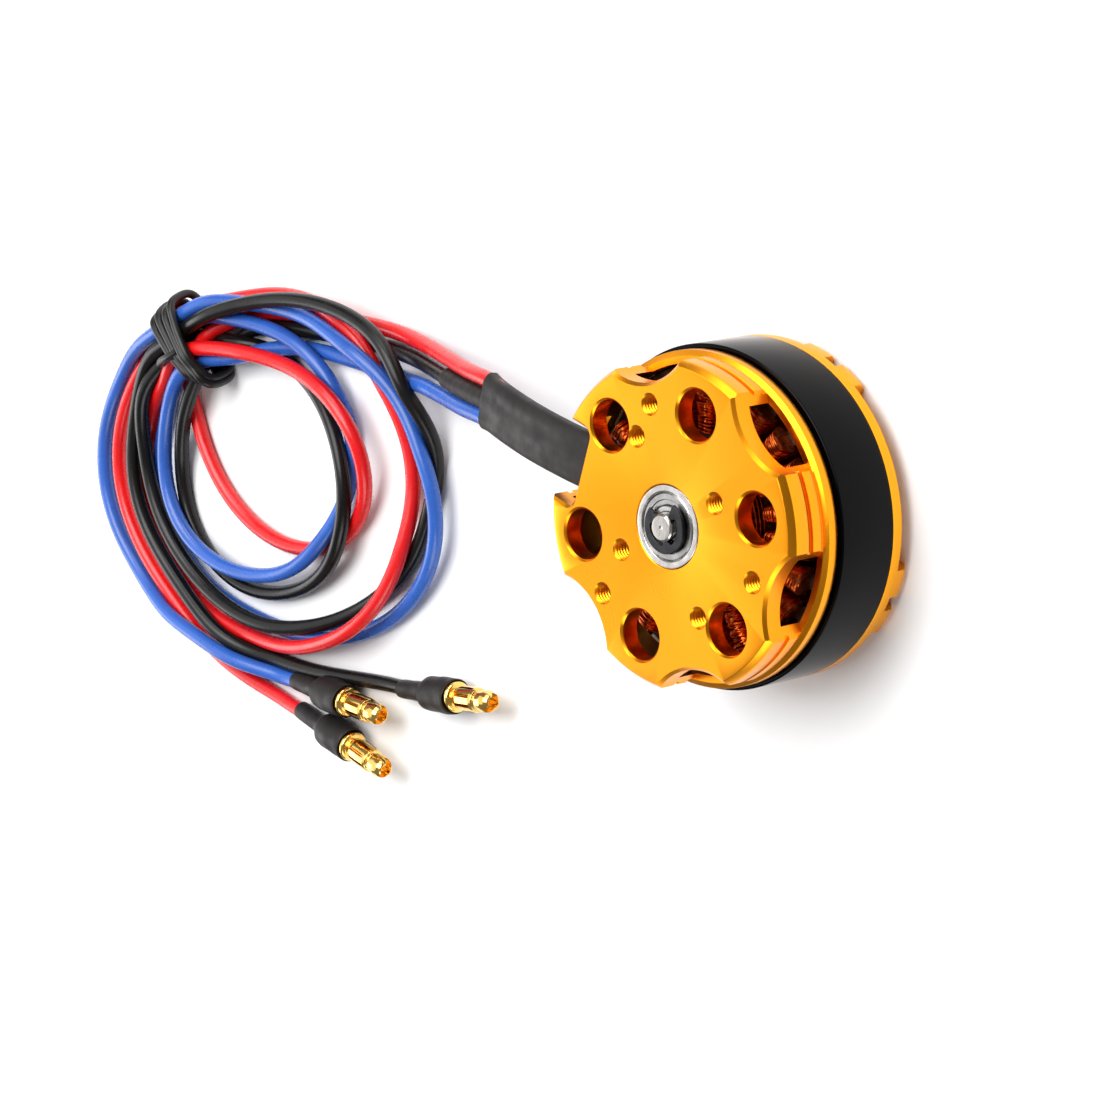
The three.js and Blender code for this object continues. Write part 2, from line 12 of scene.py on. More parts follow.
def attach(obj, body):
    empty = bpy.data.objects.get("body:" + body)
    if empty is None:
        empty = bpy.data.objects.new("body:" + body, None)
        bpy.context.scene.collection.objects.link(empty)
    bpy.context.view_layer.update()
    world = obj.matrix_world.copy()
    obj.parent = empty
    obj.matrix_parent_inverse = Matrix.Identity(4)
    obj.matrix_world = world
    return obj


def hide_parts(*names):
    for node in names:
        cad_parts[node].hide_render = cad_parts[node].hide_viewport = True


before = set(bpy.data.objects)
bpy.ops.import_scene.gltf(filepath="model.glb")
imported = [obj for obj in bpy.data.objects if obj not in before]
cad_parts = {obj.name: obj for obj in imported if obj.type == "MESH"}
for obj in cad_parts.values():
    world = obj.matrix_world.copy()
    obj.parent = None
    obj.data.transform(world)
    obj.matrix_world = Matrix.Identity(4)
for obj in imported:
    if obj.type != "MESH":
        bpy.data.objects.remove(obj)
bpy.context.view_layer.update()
MM = 0.001

# ---------------------------------------------------------------- camera

CAMERA_PLACE = (306.2, 209.6, 381.5)
CAMERA_FORWARD = (-0.6096, -0.4172, -0.6741)
CAMERA_UP = (-0.4453, 0.8837, -0.1442)
CAMERA_LENS = 130.9                 # on a 36 mm sensor


def add_camera():
    camera = bpy.data.cameras.new("camera")
    camera.lens = CAMERA_LENS
    camera.sensor_width = 36
    camera.clip_start = 0.01
    camera.clip_end = 10
    holder = bpy.data.objects.new("camera", camera)
    forward = Vector(CAMERA_FORWARD).normalized()
    right = forward.cross(Vector(CAMERA_UP)).normalized()
    up = right.cross(forward)
    turn = Matrix((right, up, -forward)).transposed().to_4x4()
    holder.matrix_world = Matrix.Translation(Vector(CAMERA_PLACE) * MM) @ turn
    bpy.context.collection.objects.link(holder)
    bpy.context.scene.camera = holder


add_camera()

# ---------------------------------------------------------------- meshes


def in_metres(points):
    return [tuple(value * MM for value in point) for point in points]


def add_mesh(name, points, faces, smooth=True):
    mesh = bpy.data.meshes.new(name)
    mesh.from_pydata(in_metres(points), [], faces)
    tidy = bmesh.new()
    tidy.from_mesh(mesh)
    bmesh.ops.remove_doubles(tidy, verts=tidy.verts, dist=1e-7)
    bmesh.ops.recalc_face_normals(tidy, faces=tidy.faces)
    tidy.to_mesh(mesh)
    tidy.free()
    piece = bpy.data.objects.new(name, mesh)
    bpy.context.collection.objects.link(piece)
    if smooth:
        soften(piece)
    return piece


def soften(piece, angle=32):
    mesh = piece.data
    mesh.shade_smooth()
    mesh.set_sharp_from_angle(angle=math.radians(angle))


def joined_shapes(shapes):
    """Puts several (points, faces) shapes into one."""
    points = []
    faces = []
    for more_points, more_faces in shapes:
        start = len(points)
        points.extend(more_points)
        faces.extend([tuple(start + corner for corner in face) for face in more_faces])
    return points, faces


def polar(radius, degrees):
    angle = math.radians(degrees)
    return radius * math.cos(angle), radius * math.sin(angle)


def lathe(outline, facets, middle=(0, 0), offset=None):
    """Turns a closed outline of (radius, height) about Z. offset(degrees, height) adds to the radius."""
    points = []
    for step in range(facets):
        degrees = 360 * step / facets
        for radius, height in outline:
            extra = offset(degrees, height) if offset and radius > 0 else 0
            x, y = polar(radius + extra, degrees)
            points.append((middle[0] + x, middle[1] + y, height))
    count = len(outline)
    faces = []
    for step in range(facets):
        here = step * count
        there = (step + 1) % facets * count
        for k in range(count):
            following = (k + 1) % count
            if outline[k][0] == 0 and outline[following][0] == 0:
                continue
            corners = [here + k, there + k, there + following, here + following]
            if outline[k][0] == 0:
                corners = [here + k, there + following, here + following]
            elif outline[following][0] == 0:
                corners = [here + k, there + k, here + following]
            faces.append(tuple(corners))
    return points, faces


def rounded_outline(outline, radius, steps=3):
    """Rounds every corner of a closed outline that is not on the axis."""
    rounded = []
    count = len(outline)
    for k in range(count):
        corner = Vector(outline[k])
        before = Vector(outline[k - 1])
        after = Vector(outline[(k + 1) % count])
        if corner.x <= 0:
            rounded.append(tuple(corner))
            continue
        reach = min(radius, (before - corner).length * 0.45, (after - corner).length * 0.45)
        first = corner + (before - corner).normalized() * reach
        last = corner + (after - corner).normalized() * reach
        for step in range(steps + 1):
            t = step / steps
            rounded.append(tuple((1 - t) ** 2 * first + 2 * t * (1 - t) * corner + t * t * last))
    return rounded


def prism(outline, bottom, top):
    """A closed outline of (x, y), raised from bottom to top."""
    count = len(outline)
    points = [(x, y, bottom) for x, y in outline] + [(x, y, top) for x, y in outline]
    faces = [tuple(range(count))[::-1], tuple(range(count, 2 * count))]
    for k in range(count):
        following = (k + 1) % count
        faces.append((k, following, count + following, count + k))
    return points, faces


def loft(rings, closed=False):
    """Joins rings of equally many points. Without closed, both ends are capped."""
    count = len(rings[0])
    points = [tuple(point) for one in rings for point in one]
    faces = []
    spans = len(rings) if closed else len(rings) - 1
    for span in range(spans):
        here = span * count
        there = (span + 1) % len(rings) * count
        for k in range(count):
            following = (k + 1) % count
            faces.append((here + k, here + following, there + following, there + k))
    if not closed:
        faces.append(tuple(range(count))[::-1])
        faces.append(tuple(range(len(points) - count, len(points))))
    return points, faces


def steady_frames(path, up):
    """Side and up directions along a path, carried along without twisting."""
    path = np.asarray(path, float)
    along = np.gradient(path, axis=0)
    along /= np.linalg.norm(along, axis=1)[:, None]
    sides = []
    ups = []
    current = np.asarray(up, float)
    for direction in along:
        current = current - direction * current.dot(direction)
        current = current / np.linalg.norm(current)
        ups.append(current)
        sides.append(np.cross(direction, current))
    return np.array(sides), np.array(ups)


def tube(path, section, up=(0, 0, 1), closed=False):
    """Sweeps a section along a path. section is a list of (sideways, upwards), or a function of the share
    of the path that lies behind."""
    sides, ups = steady_frames(path, up)
    rings = []
    for step, point in enumerate(np.asarray(path, float)):
        shape = section(step / (len(path) - 1)) if callable(section) else section
        rings.append([point + a * sides[step] + b * ups[step] for a, b in shape])
    return loft(rings, closed)


def round_section(radius, sides):
    return [polar(radius, 360 * (k + 0.5) / sides) for k in range(sides)]


def moved(shape, matrix):
    points, faces = shape
    return [tuple(matrix @ Vector(point)) for point in points], faces


def turned_about_z(shape, degrees):
    return moved(shape, Matrix.Rotation(math.radians(degrees), 4, "Z"))


def carve(piece, cutters):
    """Subtracts the cutters' shapes from a piece, and removes them."""
    for number, shape in enumerate(cutters):
        cutter = add_mesh("cutter_%d" % number, *shape, smooth=False)
        modifier = piece.modifiers.new("cut", "BOOLEAN")
        modifier.operation = "DIFFERENCE"
        modifier.solver = "EXACT"
        modifier.object = cutter
        depsgraph = bpy.context.evaluated_depsgraph_get()
        result = bpy.data.meshes.new_from_object(piece.evaluated_get(depsgraph))
        piece.modifiers.clear()
        piece.data = result
        bpy.data.objects.remove(cutter, do_unlink=True)
    return piece


# ---------------------------------------------------------------- materials


class Look:
    """A Principled material with helpers for noise, bump and colour variation."""

    def __init__(self, name, colour, roughness, metallic=0.0, **sockets):
        self.material = bpy.data.materials.new(name)
        self.material.use_nodes = True
        self.nodes = self.material.node_tree.nodes
        self.links = self.material.node_tree.links
        self.shader = self.nodes["Principled BSDF"]
        self.colour = (*colour, 1)
        self.shader.inputs["Base Color"].default_value = self.colour
        self.shader.inputs["Roughness"].default_value = roughness
        self.shader.inputs["Metallic"].default_value = metallic
        for socket, value in sockets.items():
            self.shader.inputs[socket.replace("_", " ")].default_value = value
        self.place = self.nodes.new("ShaderNodeTexCoord").outputs["Object"]
        self.last_bump = None

    def stretched(self, scale):
        mapping = self.nodes.new("ShaderNodeMapping")
        mapping.inputs["Scale"].default_value = scale
        self.links.new(self.place, mapping.inputs["Vector"])
        return mapping.outputs["Vector"]

    def noise(self, scale, detail=3.0, stretch=(1, 1, 1)):
        texture = self.nodes.new("ShaderNodeTexNoise")
        texture.inputs["Scale"].default_value = scale
        texture.inputs["Detail"].default_value = detail
        self.links.new(self.stretched(stretch), texture.inputs["Vector"])
        return texture.outputs["Fac"]

    def rings(self, scale, direction="Z", kind="RINGS"):
        texture = self.nodes.new("ShaderNodeTexWave")
        texture.wave_type = kind
        if kind == "RINGS":
            texture.rings_direction = direction
        else:
            texture.bands_direction = direction
        texture.inputs["Scale"].default_value = scale
        texture.inputs["Distortion"].default_value = 0.6
        texture.inputs["Detail"].default_value = 2.0
        texture.inputs["Detail Scale"].default_value = 3.0
        self.links.new(self.stretched((1, 1, 1)), texture.inputs["Vector"])
        return texture.outputs["Fac"]

    def ranged(self, value, low, high, from_low=0.3, from_high=0.7):
        spread = self.nodes.new("ShaderNodeMapRange")
        spread.inputs["From Min"].default_value = from_low
        spread.inputs["From Max"].default_value = from_high
        spread.inputs["To Min"].default_value = low
        spread.inputs["To Max"].default_value = high
        self.links.new(value, spread.inputs["Value"])
        return spread.outputs["Result"]

    def vary_colour(self, value, other, from_low=0.35, from_high=0.65):
        mix = self.nodes.new("ShaderNodeMix")
        mix.data_type = "RGBA"
        factor, first, second = mix.inputs[0], mix.inputs[6], mix.inputs[7]
        source = self.shader.inputs["Base Color"]
        if source.is_linked:
            self.links.new(source.links[0].from_socket, first)
        else:
            first.default_value = self.colour
        second.default_value = (*other, 1)
        self.links.new(self.ranged(value, 0, 1, from_low, from_high), factor)
        self.links.new(mix.outputs[2], source)

    def vary_roughness(self, value, low, high, from_low=0.3, from_high=0.7):
        self.links.new(self.ranged(value, low, high, from_low, from_high), self.shader.inputs["Roughness"])

    def bump(self, value, depth_mm, strength=1.0):
        bump = self.nodes.new("ShaderNodeBump")
        bump.inputs["Distance"].default_value = depth_mm * MM
        bump.inputs["Strength"].default_value = strength
        self.links.new(value, bump.inputs["Height"])
        if self.last_bump:
            self.links.new(self.last_bump, bump.inputs["Normal"])
        self.last_bump = bump.outputs["Normal"]
        self.links.new(self.last_bump, self.shader.inputs["Normal"])


def anodised(name, colour, deep, roughness):
    look = Look(name, colour, roughness, 1.0, Anisotropic=0.55)
    turning = look.nodes.new("ShaderNodeTangent")
    turning.direction_type = "RADIAL"
    turning.axis = "Z"
    look.links.new(turning.outputs["Tangent"], look.shader.inputs["Tangent"])
    look.vary_colour(look.noise(60, 2), deep, 0, 1)
    look.vary_roughness(look.noise(50, 2), roughness - 0.03, roughness + 0.04, 0, 1)
    look.bump(look.rings(700), 0.0025, 0.25)
    look.bump(look.noise(3200, 2), 0.0012, 0.25)
    return look.material


def steel(name, colour, roughness, ring_scale, depth_mm):
    look = Look(name, colour, roughness, 1.0)
    look.vary_colour(look.noise(700, 3), tuple(0.72 * value for value in colour))
    look.vary_roughness(look.noise(900, 3), roughness - 0.05, roughness + 0.1)
    look.bump(look.rings(ring_scale), depth_mm, 0.5)
    return look.material


def brushed_steel(name, colour, roughness):
    look = Look(name, colour, roughness, 1.0)
    grain = look.noise(700, 3, (6, 1, 0.3))
    look.vary_colour(grain, tuple(0.82 * value for value in colour), 0.35, 0.7)
    look.bump(grain, 0.005, 0.4)
    return look.material


def silicone(name, colour, deep, shine):
    look = Look(name, colour, 0.28, 0.0, Specular_IOR_Level=shine)
    look.vary_colour(look.noise(120, 4), deep, 0.4, 0.75)
    look.vary_roughness(look.noise(400, 2), 0.24, 0.33)
    look.bump(look.noise(700, 2), 0.008, 0.3)
    return look.material


def heat_shrink_look():
    look = Look("heat_shrink", (0.012, 0.01, 0.01), 0.5, 0.0, Specular_IOR_Level=0.24)
    look.vary_colour(look.noise(300, 5), (0.02, 0.017, 0.016))
    look.vary_roughness(look.noise(500, 4), 0.42, 0.62)
    look.bump(look.noise(260, 4), 0.09, 0.7)
    look.bump(look.noise(2400, 3), 0.014, 0.6)
    return look.material


def gloss_black_look():
    look = Look("gloss_black", (0.001, 0.001, 0.0015), 0.1, 0.0, Specular_IOR_Level=0.08)
    look.vary_roughness(look.noise(300, 4), 0.06, 0.14)
    look.bump(look.noise(900, 3, (1, 1, 0.15)), 0.006, 0.4)
    return look.material


def wire_look():
    look = Look("enamelled_wire", (0.85, 0.2, 0.035), 0.24, 1.0)
    look.vary_colour(look.noise(1500, 3), (0.4, 0.045, 0.01))
    look.bump(look.noise(2500, 2), 0.008, 0.4)
    return look.material


def lamination_look():
    look = Look("lamination", (0.03, 0.03, 0.034), 0.42, 0.4)
    look.vary_colour(look.noise(800, 3), (0.075, 0.07, 0.065))
    look.bump(look.rings(1000, "Z", "BANDS"), 0.03, 0.8)
    return look.material


def magnet_look():
    look = Look("magnet", (0.5, 0.5, 0.52), 0.32, 1.0)
    look.vary_colour(look.noise(600, 4), (0.36, 0.36, 0.38))
    look.bump(look.noise(1800, 3), 0.006, 0.5)
    return look.material


def rubber_look():
    look = Look("tie_rubber", (0.003, 0.003, 0.003), 0.33, 0.0, Specular_IOR_Level=0.34)
    look.vary_colour(look.noise(400, 4), (0.012, 0.011, 0.01))
    look.bump(look.noise(900, 3), 0.03, 0.6)
    return look.material


def gold_plate_look():
    look = Look("gold_plate", (1.0, 0.66, 0.2), 0.14, 1.0)
    look.vary_colour(look.noise(500, 3), (0.92, 0.52, 0.1), 0.4, 0.75)
    look.vary_roughness(look.noise(1200, 3), 0.1, 0.22)
    look.bump(look.noise(1600, 3), 0.006, 0.5)
    return look.material


GOLD = anodised("base_gold", (1.0, 0.365, 0.012), (0.96, 0.34, 0.011), 0.28)
BELL_GOLD = anodised("bell_gold", (1.0, 0.42, 0.02), (0.96, 0.39, 0.017), 0.25)
SHIELD = steel("shield_steel", (0.45, 0.44, 0.43), 0.26, 900, 0.006)
RACE = steel("bearing_steel", (0.62, 0.6, 0.58), 0.2, 1400, 0.003)
SHAFT = brushed_steel("shaft_steel", (0.48, 0.46, 0.43), 0.27)
BLACK_STEEL = steel("black_steel", (0.045, 0.046, 0.05), 0.36, 1100, 0.006)
GLOSS_BLACK = gloss_black_look()
LAMINATION = lamination_look()
WIRE = wire_look()
MAGNET = magnet_look()
SILICONE = {
    "red": silicone("red_silicone", (0.72, 0.007, 0.009), (0.6, 0.005, 0.007), 0.5),
    "black": silicone("black_silicone", (0.0045, 0.0042, 0.004), (0.009, 0.008, 0.0075), 0.3),
    "blue": silicone("blue_silicone", (0.028, 0.115, 0.48), (0.02, 0.085, 0.38), 0.5),
}
HEAT_SHRINK = heat_shrink_look()
RUBBER = rubber_look()
GOLD_PLATE = gold_plate_look()


def finished(piece, body, material, slot, *nodes):
    """Gives a piece its material and its body, and hides the CAD nodes that it stands for. The slot
    argument is not used.
    """
    piece.data.materials.clear()
    piece.data.materials.append(material)
    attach(piece, body)
    if nodes:
        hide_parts(*nodes)
    return piece


# ---------------------------------------------------------------- leads

LEAD_DIAMETER = 2.3
TIE_MIDDLE = (-118.6, -30.2, 4.5)
TIE_DIRECTION = (-0.663, -0.749)    # the way the leads run through the tie

# Each lead's route in millimetres: a point inside the sleeve, the CAD's route down to the floor, the coil's
# loose turns, and a tail that runs along the CAD's to the connector.
RED_ROUTE = [
    (-40, 0, 15.4), (-44.2, -0.6, 14.1), (-50, -2.3, 12), (-58, -4.5, 8.4), (-66, -6.6, 5),
    (-71, -7.9, 3.3), (-75.5, -9, 2.2), (-89, -13, 1.3), (-93.5, -14.5, 1.2), (-97.5, -16.5, 1.2),
    (-102, -18.5, 1.2), (-105.5, -20.5, 1.2), (-109.5, -22.5, 1.2), (-113, -26, 1.8),
    (-116.9, -31.7, 3.5), (-118.5, -38, 1.3), (-116, -40, 1.2), (-114, -42.5, 1.2), (-112, -46, 1.2),
    (-109, -48.5, 1.2), (-104.5, -50.5, 1.2), (-100, -51.5, 1.2), (-96, -52, 1.2), (-91, -51.5, 1.2),
    (-86.5, -50, 1.2), (-82, -48, 1.2), (-79, -45, 1.2), (-77, -42, 1.2), (-75.5, -38, 1.8),
    (-74.5, -34, 3), (-74.5, -30.5, 4), (-75.5, -27.5, 5), (-77.5, -25, 5.8), (-80.5, -23.5, 5.8),
    (-84, -23, 5.6), (-88, -22.5, 5.4), (-92, -22.5, 5), (-96, -23, 4.6), (-101, -24, 4.2),
    (-104.5, -25, 4.2), (-108, -26, 4.5), (-110.5, -27.5, 5), (-113, -29.5, 5.5), (-117.7, -31, 5.5),
    (-121, -36.5, 3.4), (-123.5, -41, 1.8), (-125, -45.5, 1.2), (-125.5, -51, 1.2), (-125.5, -56, 1.2),
    (-122.5, -61, 1.2), (-117.5, -64.5, 1.2), (-112, -68, 1.2), (-106, -70, 1.2), (-100, -70.5, 1.2),
    (-95, -69.5, 1.2), (-88.5, -67.5, 1.6), (-81.5, -64, 2.6), (-75, -59.5, 4), (-69, -54, 5.4),
    (-65.5, -49.5, 5.4), (-64.5, -45.5, 4.4), (-64, -40.5, 3.4), (-64.5, -36.5, 2), (-65.5, -32, 1.2),
    (-67, -29, 1.2), (-68.5, -26, 1.2), (-70, -23.5, 1.2), (-72, -21, 1.6), (-73.5, -18, 3),
    (-76, -15.5, 3.8), (-79.5, -14, 3.8), (-83, -13, 3.8), (-87, -12.5, 3.6), (-92, -12.5, 2.6),
    (-98, -13.5, 1.6), (-102.5, -15, 1.2), (-106.5, -17, 1.2), (-110.5, -19, 1.2), (-114, -21.5, 1.6),
    (-116.5, -24.5, 2.6), (-122, -27.1, 3.5), (-129.5, -39.5, 1.8), (-132, -44, 1.2),
    (-132.5, -48, 1.2), (-133, -52.5, 1.2), (-132.5, -56.5, 1.2), (-130.5, -60, 1.2), (-129, -63, 1.2),
    (-126.5, -65, 1.2), (-123.5, -67.5, 1.2), (-120, -69, 1.2), (-116.5, -71, 1.2),
    (-112.5, -72.5, 1.2), (-108.5, -73.5, 1.2), (-104, -75, 1.2), (-100, -76, 1.2), (-94.5, -76, 1.2),
    (-89.5, -75.5, 1.2), (-85, -75, 1.2), (-80.5, -74.6, 1.5), (-77.4, -74, 1.8),
]
BLACK_ROUTE = [
    (-39.7, -2.7, 15.4), (-43.8, -3.4, 14.1), (-50, -5.1, 11.9), (-59, -7.6, 7.8), (-65, -9.2, 5.2),
    (-70, -10.4, 3.5), (-79, -13, 1.8), (-84, -14.5, 1.3), (-88, -15.5, 1.2), (-92.5, -17, 1.2),
    (-97, -18.5, 1.2), (-101.5, -20, 1.2), (-105.5, -22, 1.2), (-110, -25, 1.4), (-113.5, -29, 2.4),
    (-115.2, -33.2, 3.5), (-114, -37, 3.4), (-115, -41, 3), (-117.5, -45.5, 1.4), (-117.5, -49.5, 1.2),
    (-116.5, -52.5, 1.2), (-115, -56, 1.2), (-112.5, -58.5, 1.2), (-108.5, -60.5, 1.2),
    (-104, -62.5, 1.2), (-99, -62.5, 1.2), (-94, -61.5, 1.2), (-89.5, -59, 1.2), (-85.5, -56.5, 1.2),
    (-82, -53, 1.6), (-79, -49, 2.8), (-77, -44.5, 3.6), (-77, -40, 3.6), (-77.5, -37, 3.6),
    (-78.5, -34, 3.5), (-80.5, -31, 3.4), (-83.5, -28.5, 3), (-87, -27, 2.4), (-91, -26, 1.6),
    (-95, -24.5, 1.3), (-99, -24, 1.2), (-103, -24, 1.2), (-107.5, -24.5, 1.2), (-111.5, -26, 1.5),
    (-114, -27.5, 2.6), (-118.6, -30.2, 3.5), (-124, -41.5, 3.5), (-124, -46, 3.4), (-123.5, -51, 3.3),
    (-121.5, -55, 3.3), (-118, -59, 3.4), (-113.5, -62, 3.5), (-109.5, -63.5, 3.5), (-105.5, -65, 3.3),
    (-101, -65.5, 3.3), (-95.5, -65.5, 3.5), (-90, -64.5, 3.5), (-84.5, -62.5, 3.3), (-80, -60.5, 2.6),
    (-77, -58, 1.8), (-74, -54.5, 1.2), (-70.5, -51, 1.2), (-67, -47, 1.2), (-65, -43.5, 1.2),
    (-63.5, -40, 1.2), (-63, -36.5, 1.2), (-62.5, -33, 1.2), (-62.5, -30, 1.2), (-63, -27, 1.2),
    (-63.5, -23.5, 1.5), (-64.5, -20.5, 2.3), (-65, -17, 3.8), (-66.5, -13.5, 5.5),
    (-68.5, -11.5, 6.3), (-71.5, -10, 6.3), (-75, -9.5, 6.1), (-78.5, -9, 6.1), (-82, -9, 6.1),
    (-85.5, -9.5, 6.1), (-89, -10, 6.1), (-93, -11.5, 6.1), (-97.5, -13, 6.1), (-101, -15, 6.1),
    (-104.5, -17, 6.1), (-109, -20, 6), (-113, -23.5, 5.9), (-119.5, -29.4, 5.5), (-125, -38, 4.2),
    (-127, -43, 3.5), (-127.5, -46.5, 3.4), (-127, -50.5, 3.3), (-126, -54, 3.3), (-125, -57, 3.2),
    (-123, -59.5, 3), (-121, -62, 2.8), (-118, -64, 2.8), (-114.5, -66, 2.8), (-111, -67.5, 3),
    (-106, -68.5, 3.6), (-101.5, -69.5, 3.6), (-98, -70.5, 2.8), (-94.5, -72, 1.4),
    (-90.5, -71.7, 1.2), (-86.5, -70.3, 1.2), (-82, -68.6, 1.2), (-77.5, -66.7, 1.2), (-73, -64.9, 1.2),
    (-69, -63.3, 1.2), (-65, -61.8, 1.2), (-61, -60.3, 1.35), (-57.9, -59.15, 1.8),
]
BLUE_ROUTE = [
    (-39.3, -5.4, 15.4), (-43.4, -6, 14.1), (-50, -8, 11.7), (-59, -10.6, 7.8), (-67, -12.9, 4.8),
    (-72.5, -15.5, 2.6), (-78, -16.5, 1.6), (-83, -17.5, 1.2), (-87.5, -18, 1.2), (-92, -19.5, 1.2),
    (-96, -21, 1.2), (-100.5, -23, 1.2), (-104.5, -25.5, 1.2), (-108.5, -28.5, 1.6),
    (-110.5, -30, 2.8), (-116, -32.5, 5.5), (-117, -38, 3.8), (-118.5, -42, 3.6), (-119.5, -46, 3.5),
    (-119.5, -49.5, 3.5), (-118.5, -52.5, 3.5), (-117, -55, 3.5), (-114.5, -57.5, 3.5),
    (-111.5, -59, 3.5), (-108, -60, 3.5), (-103.5, -60.5, 3.5), (-99, -59.5, 3.5), (-95, -58.5, 3.2),
    (-91, -56.5, 2.8), (-86.5, -53.5, 3.2), (-83, -50, 3.6), (-81, -46.5, 3.6), (-80, -43, 2.6),
    (-80, -40, 1.4), (-79.5, -37, 1.2), (-79.5, -34, 1.2), (-80, -31.5, 1.2), (-81.5, -28.5, 1.3),
    (-83, -26, 2), (-84.5, -23, 3), (-87, -21.5, 3.4), (-89.5, -20, 3.6), (-93, -19.5, 3.7),
    (-96.5, -19, 3.8), (-100, -19.5, 3.8), (-104.5, -20.5, 3.8), (-108.5, -22, 3.7),
    (-112.5, -25, 3.6), (-120.3, -28.7, 3.5), (-122, -39.5, 3), (-123.5, -44, 1.5), (-123, -48, 1.2),
    (-122.5, -52.5, 1.2), (-121, -57, 1.2), (-118.5, -60.5, 1.2), (-115, -63, 1.2), (-111, -65, 1.2),
    (-106.5, -66, 1.2), (-102, -66.5, 1.2), (-97.5, -66, 1.2), (-93.5, -65.5, 1.2),
    (-89.5, -64.5, 1.2), (-84, -63.5, 1.2), (-78.5, -61.5, 1.2), (-73.5, -58.5, 1.2),
    (-68.5, -54.5, 1.2), (-64.5, -50.5, 1.2), (-62, -46, 1.3), (-60, -41.5, 1.8), (-58.5, -37.5, 2.6),
    (-58, -33.5, 3.4), (-58.5, -30.5, 3.6), (-60, -28, 3.6), (-61, -26, 3.6), (-63, -23.5, 3.6),
    (-65.5, -21.5, 3.6), (-68, -19.5, 3.6), (-70.5, -17.5, 3.6), (-73, -16, 3.7), (-76, -15, 3.8),
    (-79.5, -14, 3.8), (-83, -13.5, 3.8), (-86.5, -13.5, 3.8), (-90.5, -14, 3.8), (-94, -14.5, 3.8),
    (-97.5, -15.5, 3.8), (-101, -16.5, 3.8), (-105, -17.5, 3.8), (-109, -19, 3.8), (-112.5, -21.5, 4),
    (-115.5, -23.5, 4.6), (-121.2, -27.9, 5.5), (-129, -36, 3), (-133, -41, 1.6), (-135, -46, 1.2),
    (-136.5, -50.5, 1.2), (-136, -55.5, 1.2), (-135.5, -59.5, 1.2), (-134, -62.5, 1.2),
    (-132.5, -65, 1.2), (-130, -67, 1.2), (-127, -69, 1.2), (-124, -71, 1.2), (-120, -72.5, 1.2),
    (-115, -73.5, 1.6), (-109, -73.5, 2.8), (-102.5, -73, 3.6), (-97.5, -73, 3.6), (-92.5, -72, 3.6),
    (-88.5, -71.5, 2.9), (-85, -71.6, 1.3), (-82.5, -70.7, 1.5), (-79.9, -69.9, 1.8),
]
ROUTES = {"red": RED_ROUTE, "black": BLACK_ROUTE, "blue": BLUE_ROUTE}
HELD_START = {"red": 33, "black": 29, "blue": 27}           # points that stay on the CAD route
HELD_END = {"red": 9, "black": 5, "blue": 7}
STEP = 1.25                         # mm between the points of a lead
STRAND_GAP = 2.34                   # mm between the middles of two leads that touch


def spread_along(path, step):
    """Points at equal steps along a path of straight spans."""
    path = np.asarray(path, float)
    lengths = np.linalg.norm(np.diff(path, axis=0), axis=1)
    run = np.concatenate([[0], np.cumsum(lengths)])
    marks = np.linspace(0, run[-1], int(round(run[-1] / step)) + 1)
    return np.stack([np.interp(marks, run, path[:, axis]) for axis in range(3)], axis=1)


def smooth_path(route, step):
    """A centripetal Catmull-Rom curve through the route's points, at equal steps."""
    points = np.asarray(route, float)
    points = np.vstack([2 * points[0] - points[1], points, 2 * points[-1] - points[-2]])
    fine = []
    for k in range(1, len(points) - 2):
        p0, p1, p2, p3 = points[k - 1:k + 3]
        d1, d2, d3 = [math.sqrt(np.linalg.norm(b - a)) for a, b in ((p0, p1), (p1, p2), (p2, p3))]
        m1 = (p2 - p1) + d2 * ((p1 - p0) / d1 - (p2 - p0) / (d1 + d2))
        m2 = (p2 - p1) + d2 * ((p3 - p2) / d3 - (p3 - p1) / (d2 + d3))
        t = np.linspace(0, 1, max(2, int(4 * np.linalg.norm(p2 - p1))), endpoint=False)[:, None]
        fine.append((2 * t**3 - 3 * t**2 + 1) * p1 + (t**3 - 2 * t**2 + t) * m1)
        fine[-1] = fine[-1] + (3 * t**2 - 2 * t**3) * p2 + (t**3 - t**2) * m2
    fine.append(points[-2:-1])
    return spread_along(np.vstack(fine), step)


def stiffness_matrix(weights, stiffness):
    """A matrix that moves a line of points to where bending and the pull of their weights balance."""
    count = len(weights)
    bend = np.zeros((count - 2, count))
    for k in range(count - 2):
        bend[k, k:k + 3] = (1, -2, 1)
    pull = np.diag(weights)
    return np.linalg.solve(pull + stiffness * bend.T @ bend, pull)


def pushed_apart(points, share, apart):
    """Moves points of different stretches apart to the gap between two strands that touch."""
    squares = (points**2).sum(1)
    distances = squares[:, None] + squares[None, :] - 2 * points @ points.T
    first, second = np.nonzero((distances < STRAND_GAP**2) & apart)
    if not len(first):
        return points
    line = points[first] - points[second]
    length = np.linalg.norm(line, axis=1)
    push = ((STRAND_GAP - length) / np.maximum(length, 1e-3))[:, None] * line
    part = (share[first] / (share[first] + share[second]))[:, None]
    total = np.zeros_like(points)
    count = np.zeros(len(points))
    np.add.at(total, first, push * part)
    np.add.at(total, second, -push * (1 - part))
    np.add.at(count, first, 1)
    np.add.at(count, second, 1)
    return points + 1.3 * total / np.maximum(count, 1)[:, None]


